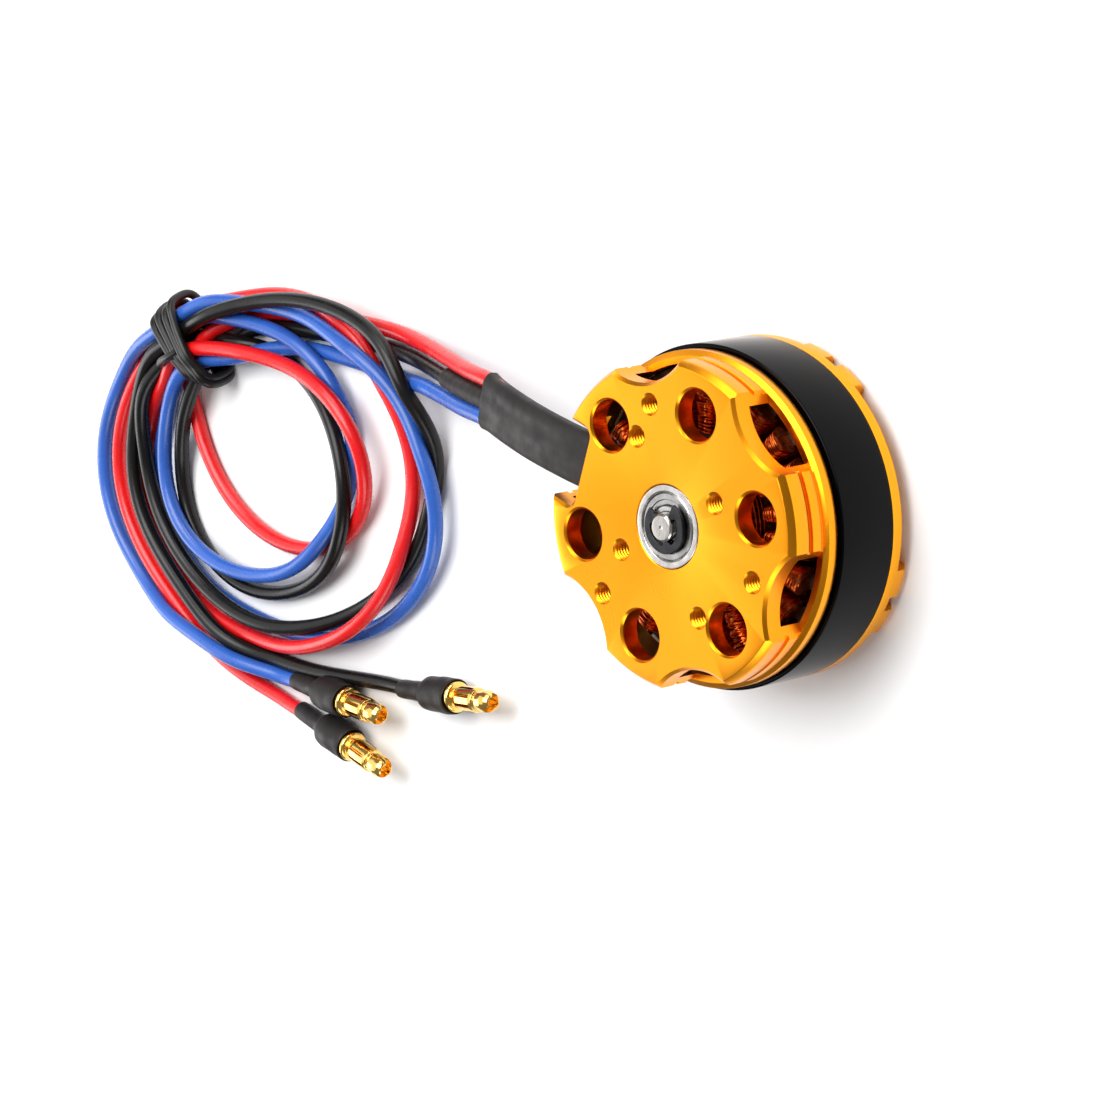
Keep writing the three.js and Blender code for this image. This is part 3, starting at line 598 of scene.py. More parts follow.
def settled(routes):
    """Lays the leads: smooth, a diameter apart where they meet, and on the floor."""
    rounds = 120
    last_rounds = 25
    held = 200
    tied = 60
    tie_half_length = 2.6
    tie_half_width = 6.5
    floor = LEAD_DIAMETER / 2 + 0.03
    lines = [smooth_path(routes[colour], STEP) for colour in routes]
    ends = np.cumsum([0] + [len(line) for line in lines])
    spans = list(zip(ends[:-1], ends[1:]))
    points = np.vstack(lines)
    from_tie = points[:, :2] - np.array(TIE_MIDDLE[:2])
    in_tie = np.abs(from_tie @ np.array(TIE_DIRECTION)) < tie_half_length
    in_tie &= np.linalg.norm(from_tie, axis=1) < tie_half_width
    weights = np.where(in_tie, float(tied), 1.0)
    for colour, (start, end) in zip(routes, spans):
        weights[start:start + HELD_START[colour]] = held
        weights[end - HELD_END[colour]:end] = held
    for start, end in spans:
        points[start:end] = stiffness_matrix(weights[start:end], 250) @ points[start:end]
    target = points.copy()
    stiff = [stiffness_matrix(weights[start:end], 6) for start, end in spans]
    strand = np.concatenate([np.full(end - start, k) for k, (start, end) in enumerate(spans)])
    order = np.arange(len(points))
    near = (strand[:, None] == strand[None, :]) & (np.abs(order[:, None] - order[None, :]) < 8)
    apart = ~near & (order[:, None] < order[None, :])
    share = 1 / weights
    for number in range(rounds):
        last = number >= rounds - last_rounds
        for _ in range(2 if last else 3):
            points = pushed_apart(points, share, apart)
            points[:, 2] = np.maximum(points[:, 2], floor)
        if not last:
            points[:, 2] += (target[:, 2] - points[:, 2]) * 0.05 - 0.004 * share
            points[:, :2] += (target[:, :2] - points[:, :2]) * 0.1
        if not last or number % 2:
            for (start, end), matrix in zip(spans, stiff):
                change = matrix @ points[start:end] - points[start:end]
                points[start:end] += change * (0.35 if last else 1.0)
        points[:, 2] = np.maximum(points[:, 2], floor)
    for start, end in spans:
        points[start:end] = stiffness_matrix(np.minimum(weights[start:end], 50), 1.5) @ points[start:end]
    points[:, 2] = np.maximum(points[:, 2], floor)
    return {colour: points[start:end] for colour, (start, end) in zip(routes, spans)}


def add_lead(colour, path):
    curve = bpy.data.curves.new(colour + "_silicone_lead", "CURVE")
    curve.dimensions = "3D"
    curve.bevel_depth = LEAD_DIAMETER / 2 * MM
    curve.bevel_resolution = 5
    curve.use_fill_caps = True
    spline = curve.splines.new("POLY")
    spline.points.add(len(path) - 1)
    for place, point in zip(spline.points, path):
        place.co = (*(value * MM for value in point), 1)
    spline.use_smooth = True
    lead = bpy.data.objects.new(colour + "_silicone_lead", curve)
    bpy.context.collection.objects.link(lead)
    return lead


LEAD_PATHS = settled(ROUTES)
LEADS = {colour: add_lead(colour, path) for colour, path in LEAD_PATHS.items()}

# ---------------------------------------------------------------- sleeves on the leads

SLEEVE_ROUTE = [(17.5, 18.6), (22, 18.6), (30, 17.8), (37, 16.3), (43.5, 14.35)]    # distance, height
SLEEVE_HEADING = 187.5
SLEEVE_SHIFT = 2.5
SLEEVE_HALF_WIDTH = 3.9
SLEEVE_HALF_THICKNESS = 1.5
LEAD_SPACING = 2.7


def signed_power(value, power):
    return math.copysign(abs(value) ** power, value)


def sleeve_section(share):
    """A flat tube drawn tight over three leads side by side. It opens a little at its mouth."""
    flare = 1 + 0.05 * max(0, share - 0.93) / 0.07
    corners = []
    for k in range(72):
        angle = math.radians(5 * k)
        across = SLEEVE_HALF_WIDTH * signed_power(math.cos(angle), 0.72)
        dip = 0.12 * (1 - math.cos(2 * math.pi * across / LEAD_SPACING)) / 2
        up = (SLEEVE_HALF_THICKNESS - dip) * signed_power(math.sin(angle), 0.62)
        corners.append((across * flare, up * flare))
    return corners


def flat_sleeve():
    route = []
    for distance, height in SLEEVE_ROUTE:
        x, y = polar(distance, SLEEVE_HEADING)
        route.append((x, y + SLEEVE_SHIFT, height))
    return add_mesh("flat_sleeve", *tube(smooth_path(route, 0.5), sleeve_section))


def bent_tube(name, path, radius):
    """A heat-shrunk tube that follows a lead, with soft wrinkles and a turned edge at each end."""
    sides = 32
    wrinkle = 0.03

    def section(share):
        wave = wrinkle * math.sin(37 * share) * math.sin(11 * share + 1)
        edge = -0.12 * max(0, 1 - min(share, 1 - share) / 0.03)
        return round_section(radius + wave + edge, sides)

    return add_mesh(name, *tube(path, section))


SLEEVE = finished(flat_sleeve(), "stator", HEAT_SHRINK, "heat_shrink", "lead_sleeve")
JOINT_LENGTH = 16.5
JOINT_POINTS = 1 + int(JOINT_LENGTH / STEP)
JOINT_SKIP = 3                      # points of the black lead that lie inside the flat sleeve
JOINT_PATH = LEAD_PATHS["black"][JOINT_SKIP:JOINT_SKIP + JOINT_POINTS]
JOINT = bent_tube("joint_sleeve_tube", smooth_path(JOINT_PATH, 0.5), 1.5)
finished(JOINT, "stator", HEAT_SHRINK, "heat_shrink", "joint_sleeve")

# ---------------------------------------------------------------- connectors

CONNECTOR_PLACES = {
    "red": ((-77.1, -74, 1.8), 8),
    "black": ((-57.5, -59, 1.8), 25),
    "blue": ((-79.6, -69.8, 1.8), 17),
}
CONNECTOR_RISE = 9


def matrix_in_metres(matrix):
    changed = matrix.copy()
    changed.translation = matrix.translation * MM
    return changed


def connector_matrix(place, heading):
    turn = Matrix.Rotation(math.radians(heading), 4, "Z")
    tip = Matrix.Rotation(math.radians(90 - CONNECTOR_RISE), 4, "Y")
    return Matrix.Translation(place) @ turn @ tip


def boot_shape(phase):
    """Heat-shrink over the lead and the back of the connector, drawn narrow where it holds the lead."""
    outline = [
        (0, -2.5), (1.2, -2.5), (1.36, -2.35), (1.42, -1.6), (1.46, 1), (1.5, 3.4), (1.68, 4.2),
        (2.2, 4.9), (2.52, 5.5), (2.63, 6.5), (2.66, 9), (2.62, 11.4), (2.6, 12), (2.52, 12.15),
        (2.36, 12.05), (2.3, 9.2), (0, 9.2),
    ]

    def wrinkle(degrees, height):
        angle = math.radians(degrees)
        wave = math.sin(2 * angle + 0.9 * height + phase) + 0.6 * math.sin(3 * angle - 1.7 * height)
        return 0.05 * wave * min(1, max(0, (height + 2) / 5))

    fine = []
    for (r1, h1), (r2, h2) in zip(outline, outline[1:] + outline[:1]):
        steps = max(1, int(math.hypot(r2 - r1, h2 - h1) / 0.35)) if r1 > 0 and r2 > 0 else 1
        for k in range(steps):
            fine.append((r1 + (r2 - r1) * k / steps, h1 + (h2 - h1) * k / steps))
    return lathe(fine, 48, offset=wrinkle)


def turned_upright_box(length, width, bottom, top, degrees):
    """A box from the axis outward at a turn of degrees."""
    corners = [(0.4, -width / 2), (length, -width / 2), (length, width / 2), (0.4, width / 2)]
    return turned_about_z(prism(corners, bottom, top), degrees)


def pin_piece(name):
    """A bullet connector's pin: collar, neck, ring with eight slots, groove, and a nose with a split."""
    outline = rounded_outline([
        (0, 8.8), (2.26, 8.8), (2.26, 12.75), (2.05, 13), (1.52, 13.1), (1.52, 13.6), (1.72, 13.75),
        (1.84, 14.6), (1.88, 16.2), (1.84, 17.9), (1.72, 18.5), (1.3, 18.6), (1.3, 18.95), (1.56, 19.05),
        (1.6, 20.4), (1.45, 21.3), (1.1, 21.9), (0.85, 22), (0.8, 21.8), (0.8, 19.6), (0, 19.6),
    ], 0.1)
    pin = add_mesh(name, *lathe(outline, 64), smooth=False)
    slots = [turned_upright_box(3, 0.5, 14.2, 17.9, 45 * k + 20) for k in range(8)]
    split = prism([(-3, -0.55), (3, -0.55), (3, 0.55), (-3, 0.55)], 20.3, 23)
    for cutter in slots + [turned_about_z(split, 60)]:
        carve(pin, [cutter])
    soften(pin, 35)
    return pin


def add_connector(colour, place, heading, phase):
    matrix = connector_matrix(place, heading)
    boot = add_mesh(colour + "_boot_tube", *moved(boot_shape(phase), matrix))
    finished(boot, "stator", HEAT_SHRINK, "heat_shrink", colour + "_boot")
    pin = pin_piece(colour + "_bullet_pin")
    pin.data.transform(matrix_in_metres(matrix))
    finished(pin, "stator", GOLD_PLATE, "gold_plate", colour + "_connector")
    return [boot, pin]


for number, (colour, (place, heading)) in enumerate(CONNECTOR_PLACES.items()):
    add_connector(colour, place, heading, 2.1 * number)

# ---------------------------------------------------------------- tie

TIE_CORD_RADIUS = 0.66
WRAPS_MIDDLE = (-116.2, -30.2)
TIE_REACH = 9                       # leads further than this from the tie's middle lie outside it


def leads_through(middle, along):
    """Where the leads cross an upright plane through the tie: places across it and heights."""
    side = np.array((along[1], -along[0]))
    places = []
    for path in LEAD_PATHS.values():
        flat = path[:, :2] - middle
        run = flat @ along
        for k in np.nonzero(run[:-1] * run[1:] < 0)[0]:
            point = path[k] + (path[k + 1] - path[k]) * run[k] / (run[k] - run[k + 1])
            across = (point[:2] - middle) @ side
            if abs(across) < TIE_REACH:
                places.append((across, point[2]))
    return np.array(places), side


def tie_wrap(shift, degrees, slack_inside, slack_outside):
    """One wrap of the tie's cord, drawn over the leads like a rubber band, looser at its ends."""
    along = np.array(polar(1, degrees))
    middle = np.array(WRAPS_MIDDLE) + shift * along
    places, side = leads_through(middle, along)
    lowest = TIE_CORD_RADIUS + 0.05
    outline = []
    for k in range(180):
        direction = np.array(polar(1, 2 * k))
        furthest = places[np.argmax(places @ direction)]
        slack = slack_inside * max(0, direction[0]) ** 2 + slack_outside * max(0, -direction[0]) ** 2
        outline.append(furthest + (LEAD_DIAMETER / 2 + TIE_CORD_RADIUS + slack) * direction)
    closed = np.array(outline + outline[:1])
    run = np.concatenate([[0], np.cumsum(np.linalg.norm(np.diff(closed, axis=0), axis=1))])
    marks = np.linspace(0, run[-1], 72, endpoint=False)
    outline = np.stack([np.interp(marks, run, closed[:, axis]) for axis in range(2)], axis=1)
    for _ in range(6):
        outline = (np.roll(outline, 1, axis=0) + 2 * outline + np.roll(outline, -1, axis=0)) / 4
    path = []
    for across, height in outline:
        x, y = middle + across * side
        path.append((x, y, max(height, lowest)))
    return tube(path, round_section(TIE_CORD_RADIUS, 14), up=(*along, 0), closed=True)


def tie_end(route):
    path = smooth_path(route, 0.3)

    def section(share):
        rounding = math.sqrt(max(0.02, 1 - (2 * share - 1) ** 16))
        return round_section(TIE_CORD_RADIUS * rounding, 14)

    return tube(path, section)


def add_tie():
    wraps = [
        tie_wrap(-1.35, 66, 1.2, 0.2),
        tie_wrap(0.0, 63, 1.9, 0.7),
        tie_wrap(1.35, 59, 2.7, 0.4),
        tie_wrap(2.5, 52, 1.5, 1.0),
    ]
    end = tie_end([
        (-115.4, -29.6, 7.8), (-117.4, -31.6, 7.9), (-119.4, -33.2, 7.2), (-120.8, -34.6, 6.2),
    ])
    tie = add_mesh("tie_cord", *joined_shapes(wraps + [end]))
    return finished(tie, "stator", RUBBER, "tie_rubber", "coil_tie")


TIE = add_tie()

for colour, lead in LEADS.items():
    finished(lead, "stator", SILICONE[colour], colour + "_silicone")
    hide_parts(colour + "_lead", colour + "_lead_tail", "lead_coil")

# ---------------------------------------------------------------- mounting base

FACE = 22                           # height of the mounting face
PLATE_BOTTOM = 19.2
BASE_BOTTOM = 13.9
M3_RADIUS = 1.25
M3_PITCH = 0.5
M3_PLACES = [(16, 0), (16, 120), (16, 240), (9.5, 45), (9.5, 225), (12.5, 135), (12.5, 315)]
VENT_RADIUS = 3.4
VENT_CIRCLE = 16
SCALLOP_RADIUS = 9.8
SCALLOP_TURNS = (0, 60, 120, 240, 300)
SCALLOP_DEPTH_RADIUS = 18.8         # where a scallop comes nearest to the axis
LEDGE_TOP = 15.7


def flared_hole(radius, chamfer, bottom, x, y):
    """A cutter for a plain hole in the mounting face, with a softly broken edge."""
    mouth = radius + chamfer
    return lathe([
        (0, bottom), (radius, bottom), (radius, FACE - chamfer),
        (radius + chamfer * 0.55, FACE - chamfer * 0.38), (mouth, FACE + 0.001),
        (mouth + 0.5, FACE + 0.5), (0, FACE + 0.5),
    ], 64, (x, y))


def threaded_hole(x, y, bottom, top, mouth, upward=True):
    """A cutter for an M3 hole, whose ridges leave the thread's grooves in the wall."""
    crest = M3_RADIUS - 0.06
    root = M3_RADIUS + 0.26
    past = mouth + 0.4
    outline = [(0, bottom - 0.5), (M3_RADIUS, bottom - 0.5)]
    ridges = int((top - bottom + 0.4) / M3_PITCH)
    start = top - 0.02 - ridges * M3_PITCH
    for k in range(ridges):
        low = start + k * M3_PITCH
        outline += [(crest, low + 0.04), (root, low + 0.25), (root, low + 0.29), (crest, low + M3_PITCH)]
    outline += [(M3_RADIUS, top), (M3_RADIUS + mouth, top + mouth), (M3_RADIUS + past, top + past)]
    outline += [(0, top + past)]
    if not upward:
        outline = [(radius, bottom + top - height) for radius, height in outline][::-1]
    return lathe(outline, 40, (x, y))


def rounded_box(x1, x2, half_width, radius, grow):
    """The outline of a box with round corners, grown outward all round."""
    corners = []
    middles = [(x2, half_width, 0), (x1, half_width, 90), (x1, -half_width, 180), (x2, -half_width, 270)]
    for x, y, first in middles:
        cx = x - math.copysign(radius, x - (x1 + x2) / 2)
        cy = y - math.copysign(radius, y)
        for k in range(9):
            dx, dy = polar(radius + grow, first + 90 * k / 8)
            corners.append((cx + dx, cy + dy))
    return corners


def base_outline():
    """Half of the base's cross-section: bearing tube, face plate, grooved side wall and foot."""
    wall = 20.6
    foot = 22.3
    side = 22
    groove = 21.5
    tube_outer = 6.8
    tube_bottom = 5.1
    seat = 5.53
    shoulder = 4.6
    return rounded_outline([
        (tube_outer, tube_bottom), (tube_outer, PLATE_BOTTOM), (wall, PLATE_BOTTOM), (wall, BASE_BOTTOM),
        (foot, BASE_BOTTOM), (foot, 15.4), (groove, LEDGE_TOP), (groove, 16.5), (side, 16.55),
        (side, 18.05), (groove, 18.1), (groove, 18.8), (side, 18.85), (side, 21.1), (21.3, FACE),
        (seat + 0.12, FACE), (seat, FACE - 0.12),
        (seat, 17.97), (shoulder, 17.97), (shoulder, 9.33), (seat, 9.33), (seat, tube_bottom),
    ], 0.08, 2)


def add_base():
    base = add_mesh("machined_base", *lathe(base_outline(), 288), smooth=False)
    vents = []
    for k in range(6):
        vents.append(flared_hole(VENT_RADIUS, 0.3, PLATE_BOTTOM - 1, *polar(VENT_CIRCLE, 30 + 60 * k)))
    mouth = 0.27
    holes = []
    for radius, degrees in M3_PLACES:
        holes.append(threaded_hole(*polar(radius, degrees), PLATE_BOTTOM, FACE - mouth, mouth))
    scallops = []
    for degrees in SCALLOP_TURNS:
        scallops.append(lathe([
            (0, LEDGE_TOP), (SCALLOP_RADIUS, LEDGE_TOP), (SCALLOP_RADIUS, FACE - 0.45),
            (SCALLOP_RADIUS + 0.45, FACE + 0.001), (SCALLOP_RADIUS + 0.95, FACE + 0.5), (0, FACE + 0.5),
        ], 160, polar(SCALLOP_DEPTH_RADIUS + SCALLOP_RADIUS, degrees)))
    levels = [(LEDGE_TOP - 0.3, 0), (FACE - 0.4, 0), (FACE, 0.4), (FACE + 0.5, 0.9)]
    notch = loft([[(x, y, z) for x, y in rounded_box(-26, -17, 5.7, 1.3, grow)] for z, grow in levels])
    carve(base, [joined_shapes(scallops), notch, joined_shapes(holes), joined_shapes(vents)])
    soften(base, 28)
    return finished(base, "stator", GOLD, "base_gold", "mount_base")


add_base()

# ---------------------------------------------------------------- windings and stator

TEETH = 24
WIRE_RADIUS = 0.165
WIRE_TURNS = 21
END_ROUNDS = 5
LOOSE_WIRES = 9
COIL_INNER = 11.9
COIL_OUTER = 18.35
COIL_MIDDLE = 10.1
COIL_HALF_HEIGHT = 6.4


def coil_half(radius):
    """Half of a coil's width at a radius, with the gap to the next coil taken off."""
    return radius * math.tan(math.pi / TEETH) - 0.1


def coil_core(gap):
    """The dark middle of a coil, under its wires."""
    end_gap = 1.2
    rings = []
    for radius, less in ((COIL_INNER, end_gap), (COIL_INNER + 0.1, gap),
                         (COIL_OUTER - 0.1, gap), (COIL_OUTER, end_gap)):
        ring = []
        for k in range(24):
            angle = math.radians(15 * k)
            across = max(0.1, coil_half(radius) - less) * signed_power(math.cos(angle), 0.6)
            above = (COIL_HALF_HEIGHT - less) * signed_power(math.sin(angle), 0.75)
            ring.append((radius, across, COIL_MIDDLE + above))
        rings.append(ring)
    return loft(rings)


def coil_wire(random):
    """One long wire round a tooth: turns from its inner to its outer end, then rounds on the end's face."""
    path = []
    sides = 26
    wobble = random.uniform(-0.13, 0.13, WIRE_TURNS + END_ROUNDS + 1)
    slants = random.uniform(0.25, 0.75, WIRE_TURNS + END_ROUNDS + 1)
    swell = random.uniform(-0.1, 0.02, WIRE_TURNS + END_ROUNDS + 1)
    for k in range(sides * (WIRE_TURNS + END_ROUNDS) + 1):
        turn, side = divmod(k, sides)
        share = min(1, k / (sides * WIRE_TURNS))
        inward = 1.7 * WIRE_RADIUS * max(0, k / sides - WIRE_TURNS)
        radius = COIL_INNER + (COIL_OUTER - COIL_INNER) * share
        half = coil_half(radius) - WIRE_RADIUS - inward
        angle = 2 * math.pi * side / sides
        bulge = swell[turn] * abs(math.sin(angle))
        across = half * signed_power(math.cos(angle), 0.6)
        reach = COIL_HALF_HEIGHT - 0.5 * inward + bulge
        crossing = slants[turn] * math.sin(angle) * math.cos(angle) + wobble[turn] * math.sin(angle) ** 2
        path.append((radius + crossing * (1 if share < 1 else 0.3), across,
                     COIL_MIDDLE + reach * signed_power(math.sin(angle), 0.75)))
    return tube(path, round_section(WIRE_RADIUS, 6), up=(1, 0, 0.01))


def loose_wires(random):
    """Wires that cross a coil's top at a slant, from one side to the other."""
    shapes = []
    for _ in range(LOOSE_WIRES):
        first, last = random.uniform(COIL_INNER + 0.4, COIL_OUTER - 0.1, 2)
        last = first + min(2.6, max(-2.6, last - first))
        lift = random.uniform(0.1, 0.3)
        path = []
        for k in range(13):
            angle = math.pi * k / 12
            radius = first + (last - first) * k / 12
            half = coil_half(radius) - WIRE_RADIUS
            across = half * signed_power(math.cos(angle), 0.6)
            height = COIL_MIDDLE + (COIL_HALF_HEIGHT + lift) * signed_power(math.sin(angle), 0.75)
            path.append((radius, across * 0.98, max(height, COIL_MIDDLE + 2)))
        shapes.append(tube(smooth_path(path, 0.4), round_section(WIRE_RADIUS, 6), up=(1, 0, 0.01)))
    return shapes


def phase_join(phase):
    """The ring of wires above the coils that joins one phase's coils."""
    low = 14.4 + 0.75 * phase
    high = 14.95 + 0.75 * phase
    outline = [(9.5, low), (10.6, low), (10.6, high), (9.5, high)]
    return lathe(rounded_outline(outline, 0.2), 96)


def add_windings():
    random = np.random.default_rng(7)
    for phase, letter in enumerate("uvw"):
        wires = []
        for tooth in range(TEETH):
            if tooth // 4 % 3 == phase:
                degrees = 360 * tooth / TEETH
                wires.append(turned_about_z(coil_wire(random), degrees))
                wires.append(turned_about_z(coil_core(0.34), degrees))
                wires += [turned_about_z(wire, degrees) for wire in loose_wires(random)]
        wires.append(phase_join(phase))
        winding = add_mesh("phase_%s_wires" % letter, *joined_shapes(wires), smooth=False)
        winding.data.shade_smooth()
        finished(winding, "stator", WIRE, "enamelled_wire", "winding_phase_" + letter)


add_windings()

# ---------------------------------------------------------------- bearings

BEARING_WIDTH = 4
BEARINGS = {"front": FACE - BEARING_WIDTH, "rear": 5.3}


def add_bearing(name, bottom):
    top = bottom + BEARING_WIDTH
    races = {
        "outer_race": ("stator", [(4.62, bottom), (5.5, bottom), (5.5, top), (4.62, top), (4.5, top - 0.6),
                                  (4.5, bottom + 0.6)]),
        "inner_race": ("rotor", [(2.03, bottom), (2.72, bottom), (2.82, bottom + 0.6), (2.82, top - 0.6),
                                 (2.72, top), (2.03, top)]),
    }
    for kind, (body, outline) in races.items():
        race = add_mesh("%s_%s" % (name, kind), *lathe(rounded_outline(outline, 0.14), 128))
        finished(race, body, RACE, "bearing_steel", "%s_bearing_%s" % (name, kind))
    for kind, face, inward in (("upper_shield", top, -1), ("lower_shield", bottom, 1)):
        dish = [(2.86, 0.32), (3.0, 0.2), (3.5, 0.2), (3.62, 0.1), (4.3, 0.1), (4.42, 0.2), (4.56, 0.3),
                (4.5, 0.42), (3.1, 0.42), (2.86, 0.44)]
        outline = [(radius, face + inward * depth) for radius, depth in dish]
        shield = add_mesh("%s_%s" % (name, kind), *lathe(outline, 128))
        finished(shield, "stator", SHIELD, "shield_steel", "%s_bearing_%s" % (name, kind))


for bearing_name, bearing_bottom in BEARINGS.items():
    add_bearing(bearing_name, bearing_bottom)

# ---------------------------------------------------------------- shaft and its clip

CLIP_BOTTOM = 22.1
CLIP_TOP = 22.7
CLIP_MOUTH = 120


def add_shaft():
    outline = rounded_outline([
        (0, 0.45), (1.7, 0.45), (2, 0.75), (2, CLIP_BOTTOM - 0.05), (1.5, CLIP_BOTTOM - 0.05),
        (1.5, CLIP_TOP + 0.05), (1.85, CLIP_TOP + 0.05), (1.85, 22.95), (1.6, 23.2), (0.3, 23.2),
        (0, 23.08),
    ], 0.06)
    shaft = add_mesh("ground_shaft", *lathe(outline, 96))
    return finished(shaft, "rotor", SHAFT, "shaft_steel", "shaft")


def add_clip():
    """An E-clip: a sprung ring, open at its mouth, with three lobes that grip the shaft's groove."""
    outline = []
    mouth = 38
    for k in range(73):
        degrees = mouth + (360 - 2 * mouth) * k / 72
        outline.append(polar(3.5, degrees))
    for k in range(145):
        degrees = 360 - mouth - (360 - 2 * mouth) * k / 144
        near_lobe = min(abs(degrees - lobe) for lobe in (52, 180, 308))
        reach = 1 / (1 + math.exp((near_lobe - 13) / 2))
        outline.append(polar(2.45 - 0.85 * reach, degrees))
    levels = [(CLIP_BOTTOM, -0.07), (CLIP_BOTTOM + 0.07, 0), (CLIP_TOP - 0.07, 0), (CLIP_TOP, -0.07)]
    rings = []
    count = len(outline)
    for height, inset in levels:
        ring = []
        for k in range(count):
            before = Vector(outline[k - 1])
            after = Vector(outline[(k + 1) % count])
            tangent = (after - before).normalized()
            x, y = outline[k]
            ring.append((x + tangent.y * inset, y - tangent.x * inset, height))
        rings.append(ring)
    clip = add_mesh("sprung_e_clip", *turned_about_z(loft(rings), CLIP_MOUTH))
    return finished(clip, "rotor", BLACK_STEEL, "black_steel", "e_clip")


add_shaft()
add_clip()

# ---------------------------------------------------------------- bell

BELL_RADIUS = 22.9
ARM_ANGLE = 82                      # degrees, the first arm at rest
ARM_HALF_WIDTH = 5
ARM_SLOT_HALF_WIDTH = 1.05
ARM_TOP = 2.8
ARM_EDGE = 0.9                      # the chamfer at the arms' outer ends
RIM_INNER = 19.4
RIM_BOTTOM = 2.35
RIM_TOP = 3.95
HUB_RADIUS = 8.5
HUB_TOP = 4.7
RING_BOTTOM = 3.98
RING_TOP = 13.4
RING_INNER = 21.75


def space_outline(degrees, inner, outer, half_width):
    """The outline of the space between two arms, whose middle lies at a turn of degrees."""
    outline = []
    for radius, direction in ((inner, 1), (outer, -1)):
        reach = 45 - math.degrees(math.asin(half_width / radius))
        for k in range(25):
            outline.append(polar(radius, degrees + direction * reach * (1 - k / 12)))
    return outline


def space_between_arms(degrees):
    """A cutter that opens a window inside the rim and clears the rim's underside between two arms."""
    below = space_outline(degrees, HUB_RADIUS + 0.2, BELL_RADIUS + 2, ARM_HALF_WIDTH)
    inside = space_outline(degrees, HUB_RADIUS + 0.22, RIM_INNER - 0.01, ARM_HALF_WIDTH + 0.01)
    levels = [(below, -1), (below, RIM_BOTTOM), (inside, RIM_BOTTOM), (inside, 6)]
    return loft([[(x, y, height) for x, y in outline] for outline, height in levels])


def add_bell():
    outline = rounded_outline([
        (2.03, 0), (BELL_RADIUS - ARM_EDGE, 0), (BELL_RADIUS, ARM_EDGE), (BELL_RADIUS, RIM_TOP),
        (RIM_INNER, RIM_TOP), (RIM_INNER, ARM_TOP), (HUB_RADIUS, ARM_TOP), (HUB_RADIUS, HUB_TOP),
        (2.03, HUB_TOP),
    ], 0.1, 2)
    bell = add_mesh("bell_with_arms", *lathe(outline, 288), smooth=False)
    slot = [(13.5, -ARM_SLOT_HALF_WIDTH), (26, -ARM_SLOT_HALF_WIDTH), (26, ARM_SLOT_HALF_WIDTH),
            (13.5, ARM_SLOT_HALF_WIDTH)]
    spaces = []
    slots = []
    screws = []
    for k in range(4):
        degrees = ARM_ANGLE + 90 * k
        spaces.append(space_between_arms(degrees + 45))
        slots.append(turned_about_z(prism(slot, -1, RIM_BOTTOM - 0.01), degrees))
        screws.append(threaded_hole(*polar(6, degrees + 45), 0.35, 5.2, 0.36, upward=False))
    carve(bell, [joined_shapes(spaces), joined_shapes(slots), joined_shapes(screws)])
    soften(bell, 28)
    return finished(bell, "rotor", BELL_GOLD, "bell_gold", "bell_cap")


def add_flux_ring():
    outline = [(RING_INNER, RING_BOTTOM), (BELL_RADIUS, RING_BOTTOM), (BELL_RADIUS, RING_TOP),
               (RING_INNER, RING_TOP)]
    ring = add_mesh("black_flux_ring", *lathe(rounded_outline(outline, 0.22, 4), 288))
    return finished(ring, "rotor", GLOSS_BLACK, "gloss_black", "flux_ring")


add_bell()
add_flux_ring()

# ---------------------------------------------------------------- CAD nodes that stay

KEPT_LOOKS = {"stator_core": LAMINATION, "spacer_washer": RACE, "front_bearing_balls": RACE,
              "rear_bearing_balls": RACE, "grub_screw_1": BLACK_STEEL, "grub_screw_2": BLACK_STEEL}
for number in range(22):
    KEPT_LOOKS["magnet_%02d" % (number + 1)] = MAGNET
for node, material in KEPT_LOOKS.items():
    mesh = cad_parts[node].data
    mesh.materials.clear()
    mesh.materials.append(material)

# ---------------------------------------------------------------- floor and light


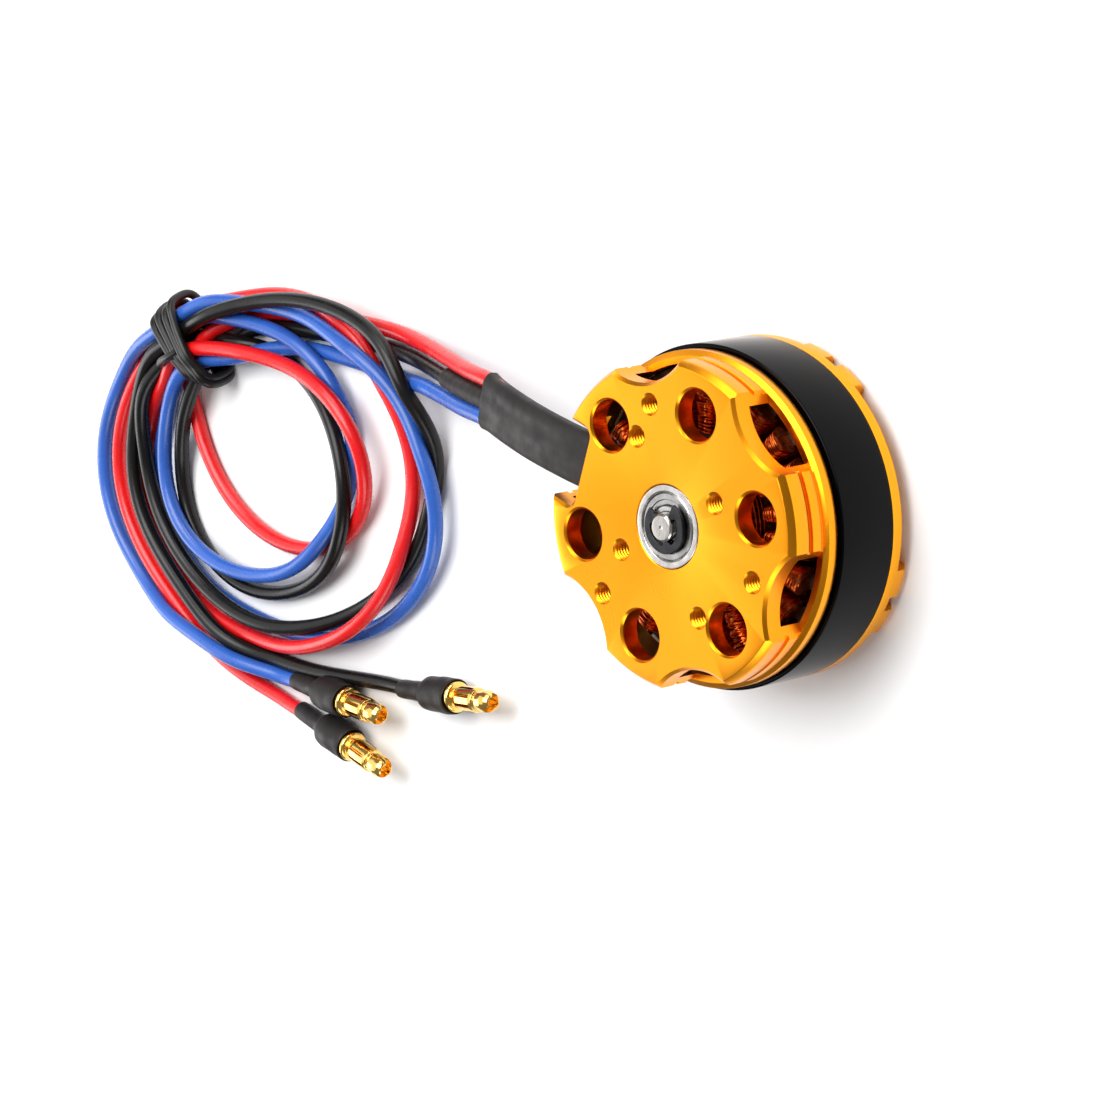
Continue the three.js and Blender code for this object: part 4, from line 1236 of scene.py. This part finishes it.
def add_floor():
    half = 750
    height = -0.02
    floor = add_mesh("floor", [(-half, -half, height), (half, -half, height), (half, half, height),
                               (-half, half, height)], [(0, 1, 2, 3)], smooth=False)
    look = Look("floor_white", (0.93, 0.93, 0.93), 0.6)
    look.vary_colour(look.noise(4, 2), (0.9, 0.9, 0.905))
    floor.data.materials.append(look.material)


def add_soft_box(name, direction, distance, size, brightness):
    """A square soft box, seen from the motor in a direction, whose face has a brightness."""
    light = bpy.data.lights.new(name, "AREA")
    light.shape = "SQUARE"
    light.size = size
    light.energy = brightness * math.pi * size**2
    holder = bpy.data.objects.new(name, light)
    facing = Vector(direction).normalized()
    holder.location = Vector((-0.03, -0.02, 0.01)) + facing * distance
    holder.rotation_euler = facing.to_track_quat("Z", "Y").to_euler()
    bpy.context.collection.objects.link(holder)


def add_light():
    world = bpy.data.worlds.new("studio")
    world.use_nodes = True
    nodes = world.node_tree.nodes
    links = world.node_tree.links
    room = nodes["Background"]
    room.inputs["Color"].default_value = (1, 1, 1, 1)
    room.inputs["Strength"].default_value = 0.22
    backdrop = nodes.new("ShaderNodeBackground")
    backdrop.inputs["Color"].default_value = (1, 1, 1, 1)
    choice = nodes.new("ShaderNodeMixShader")
    links.new(nodes.new("ShaderNodeLightPath").outputs["Is Camera Ray"], choice.inputs[0])
    links.new(room.outputs["Background"], choice.inputs[1])
    links.new(backdrop.outputs["Background"], choice.inputs[2])
    links.new(choice.outputs["Shader"], nodes["World Output"].inputs["Surface"])
    bpy.context.scene.world = world
    add_soft_box("face_card", (-0.73, -0.15, 0.665), 0.42, 0.42, 1.05)
    add_soft_box("overhead", (-0.15, 0.45, 0.9), 1.2, 0.9, 7)
    add_soft_box("far_side", (-0.3, 0.95, 0.35), 1.3, 0.6, 4)
    add_soft_box("near_side", (0.75, -0.75, 0.45), 1.3, 0.7, 3.5)
    add_soft_box("left_side", (-0.9, -0.6, 0.35), 1.3, 0.7, 3)
    bpy.context.scene.view_settings.view_transform = "Standard"


add_floor()
add_light()
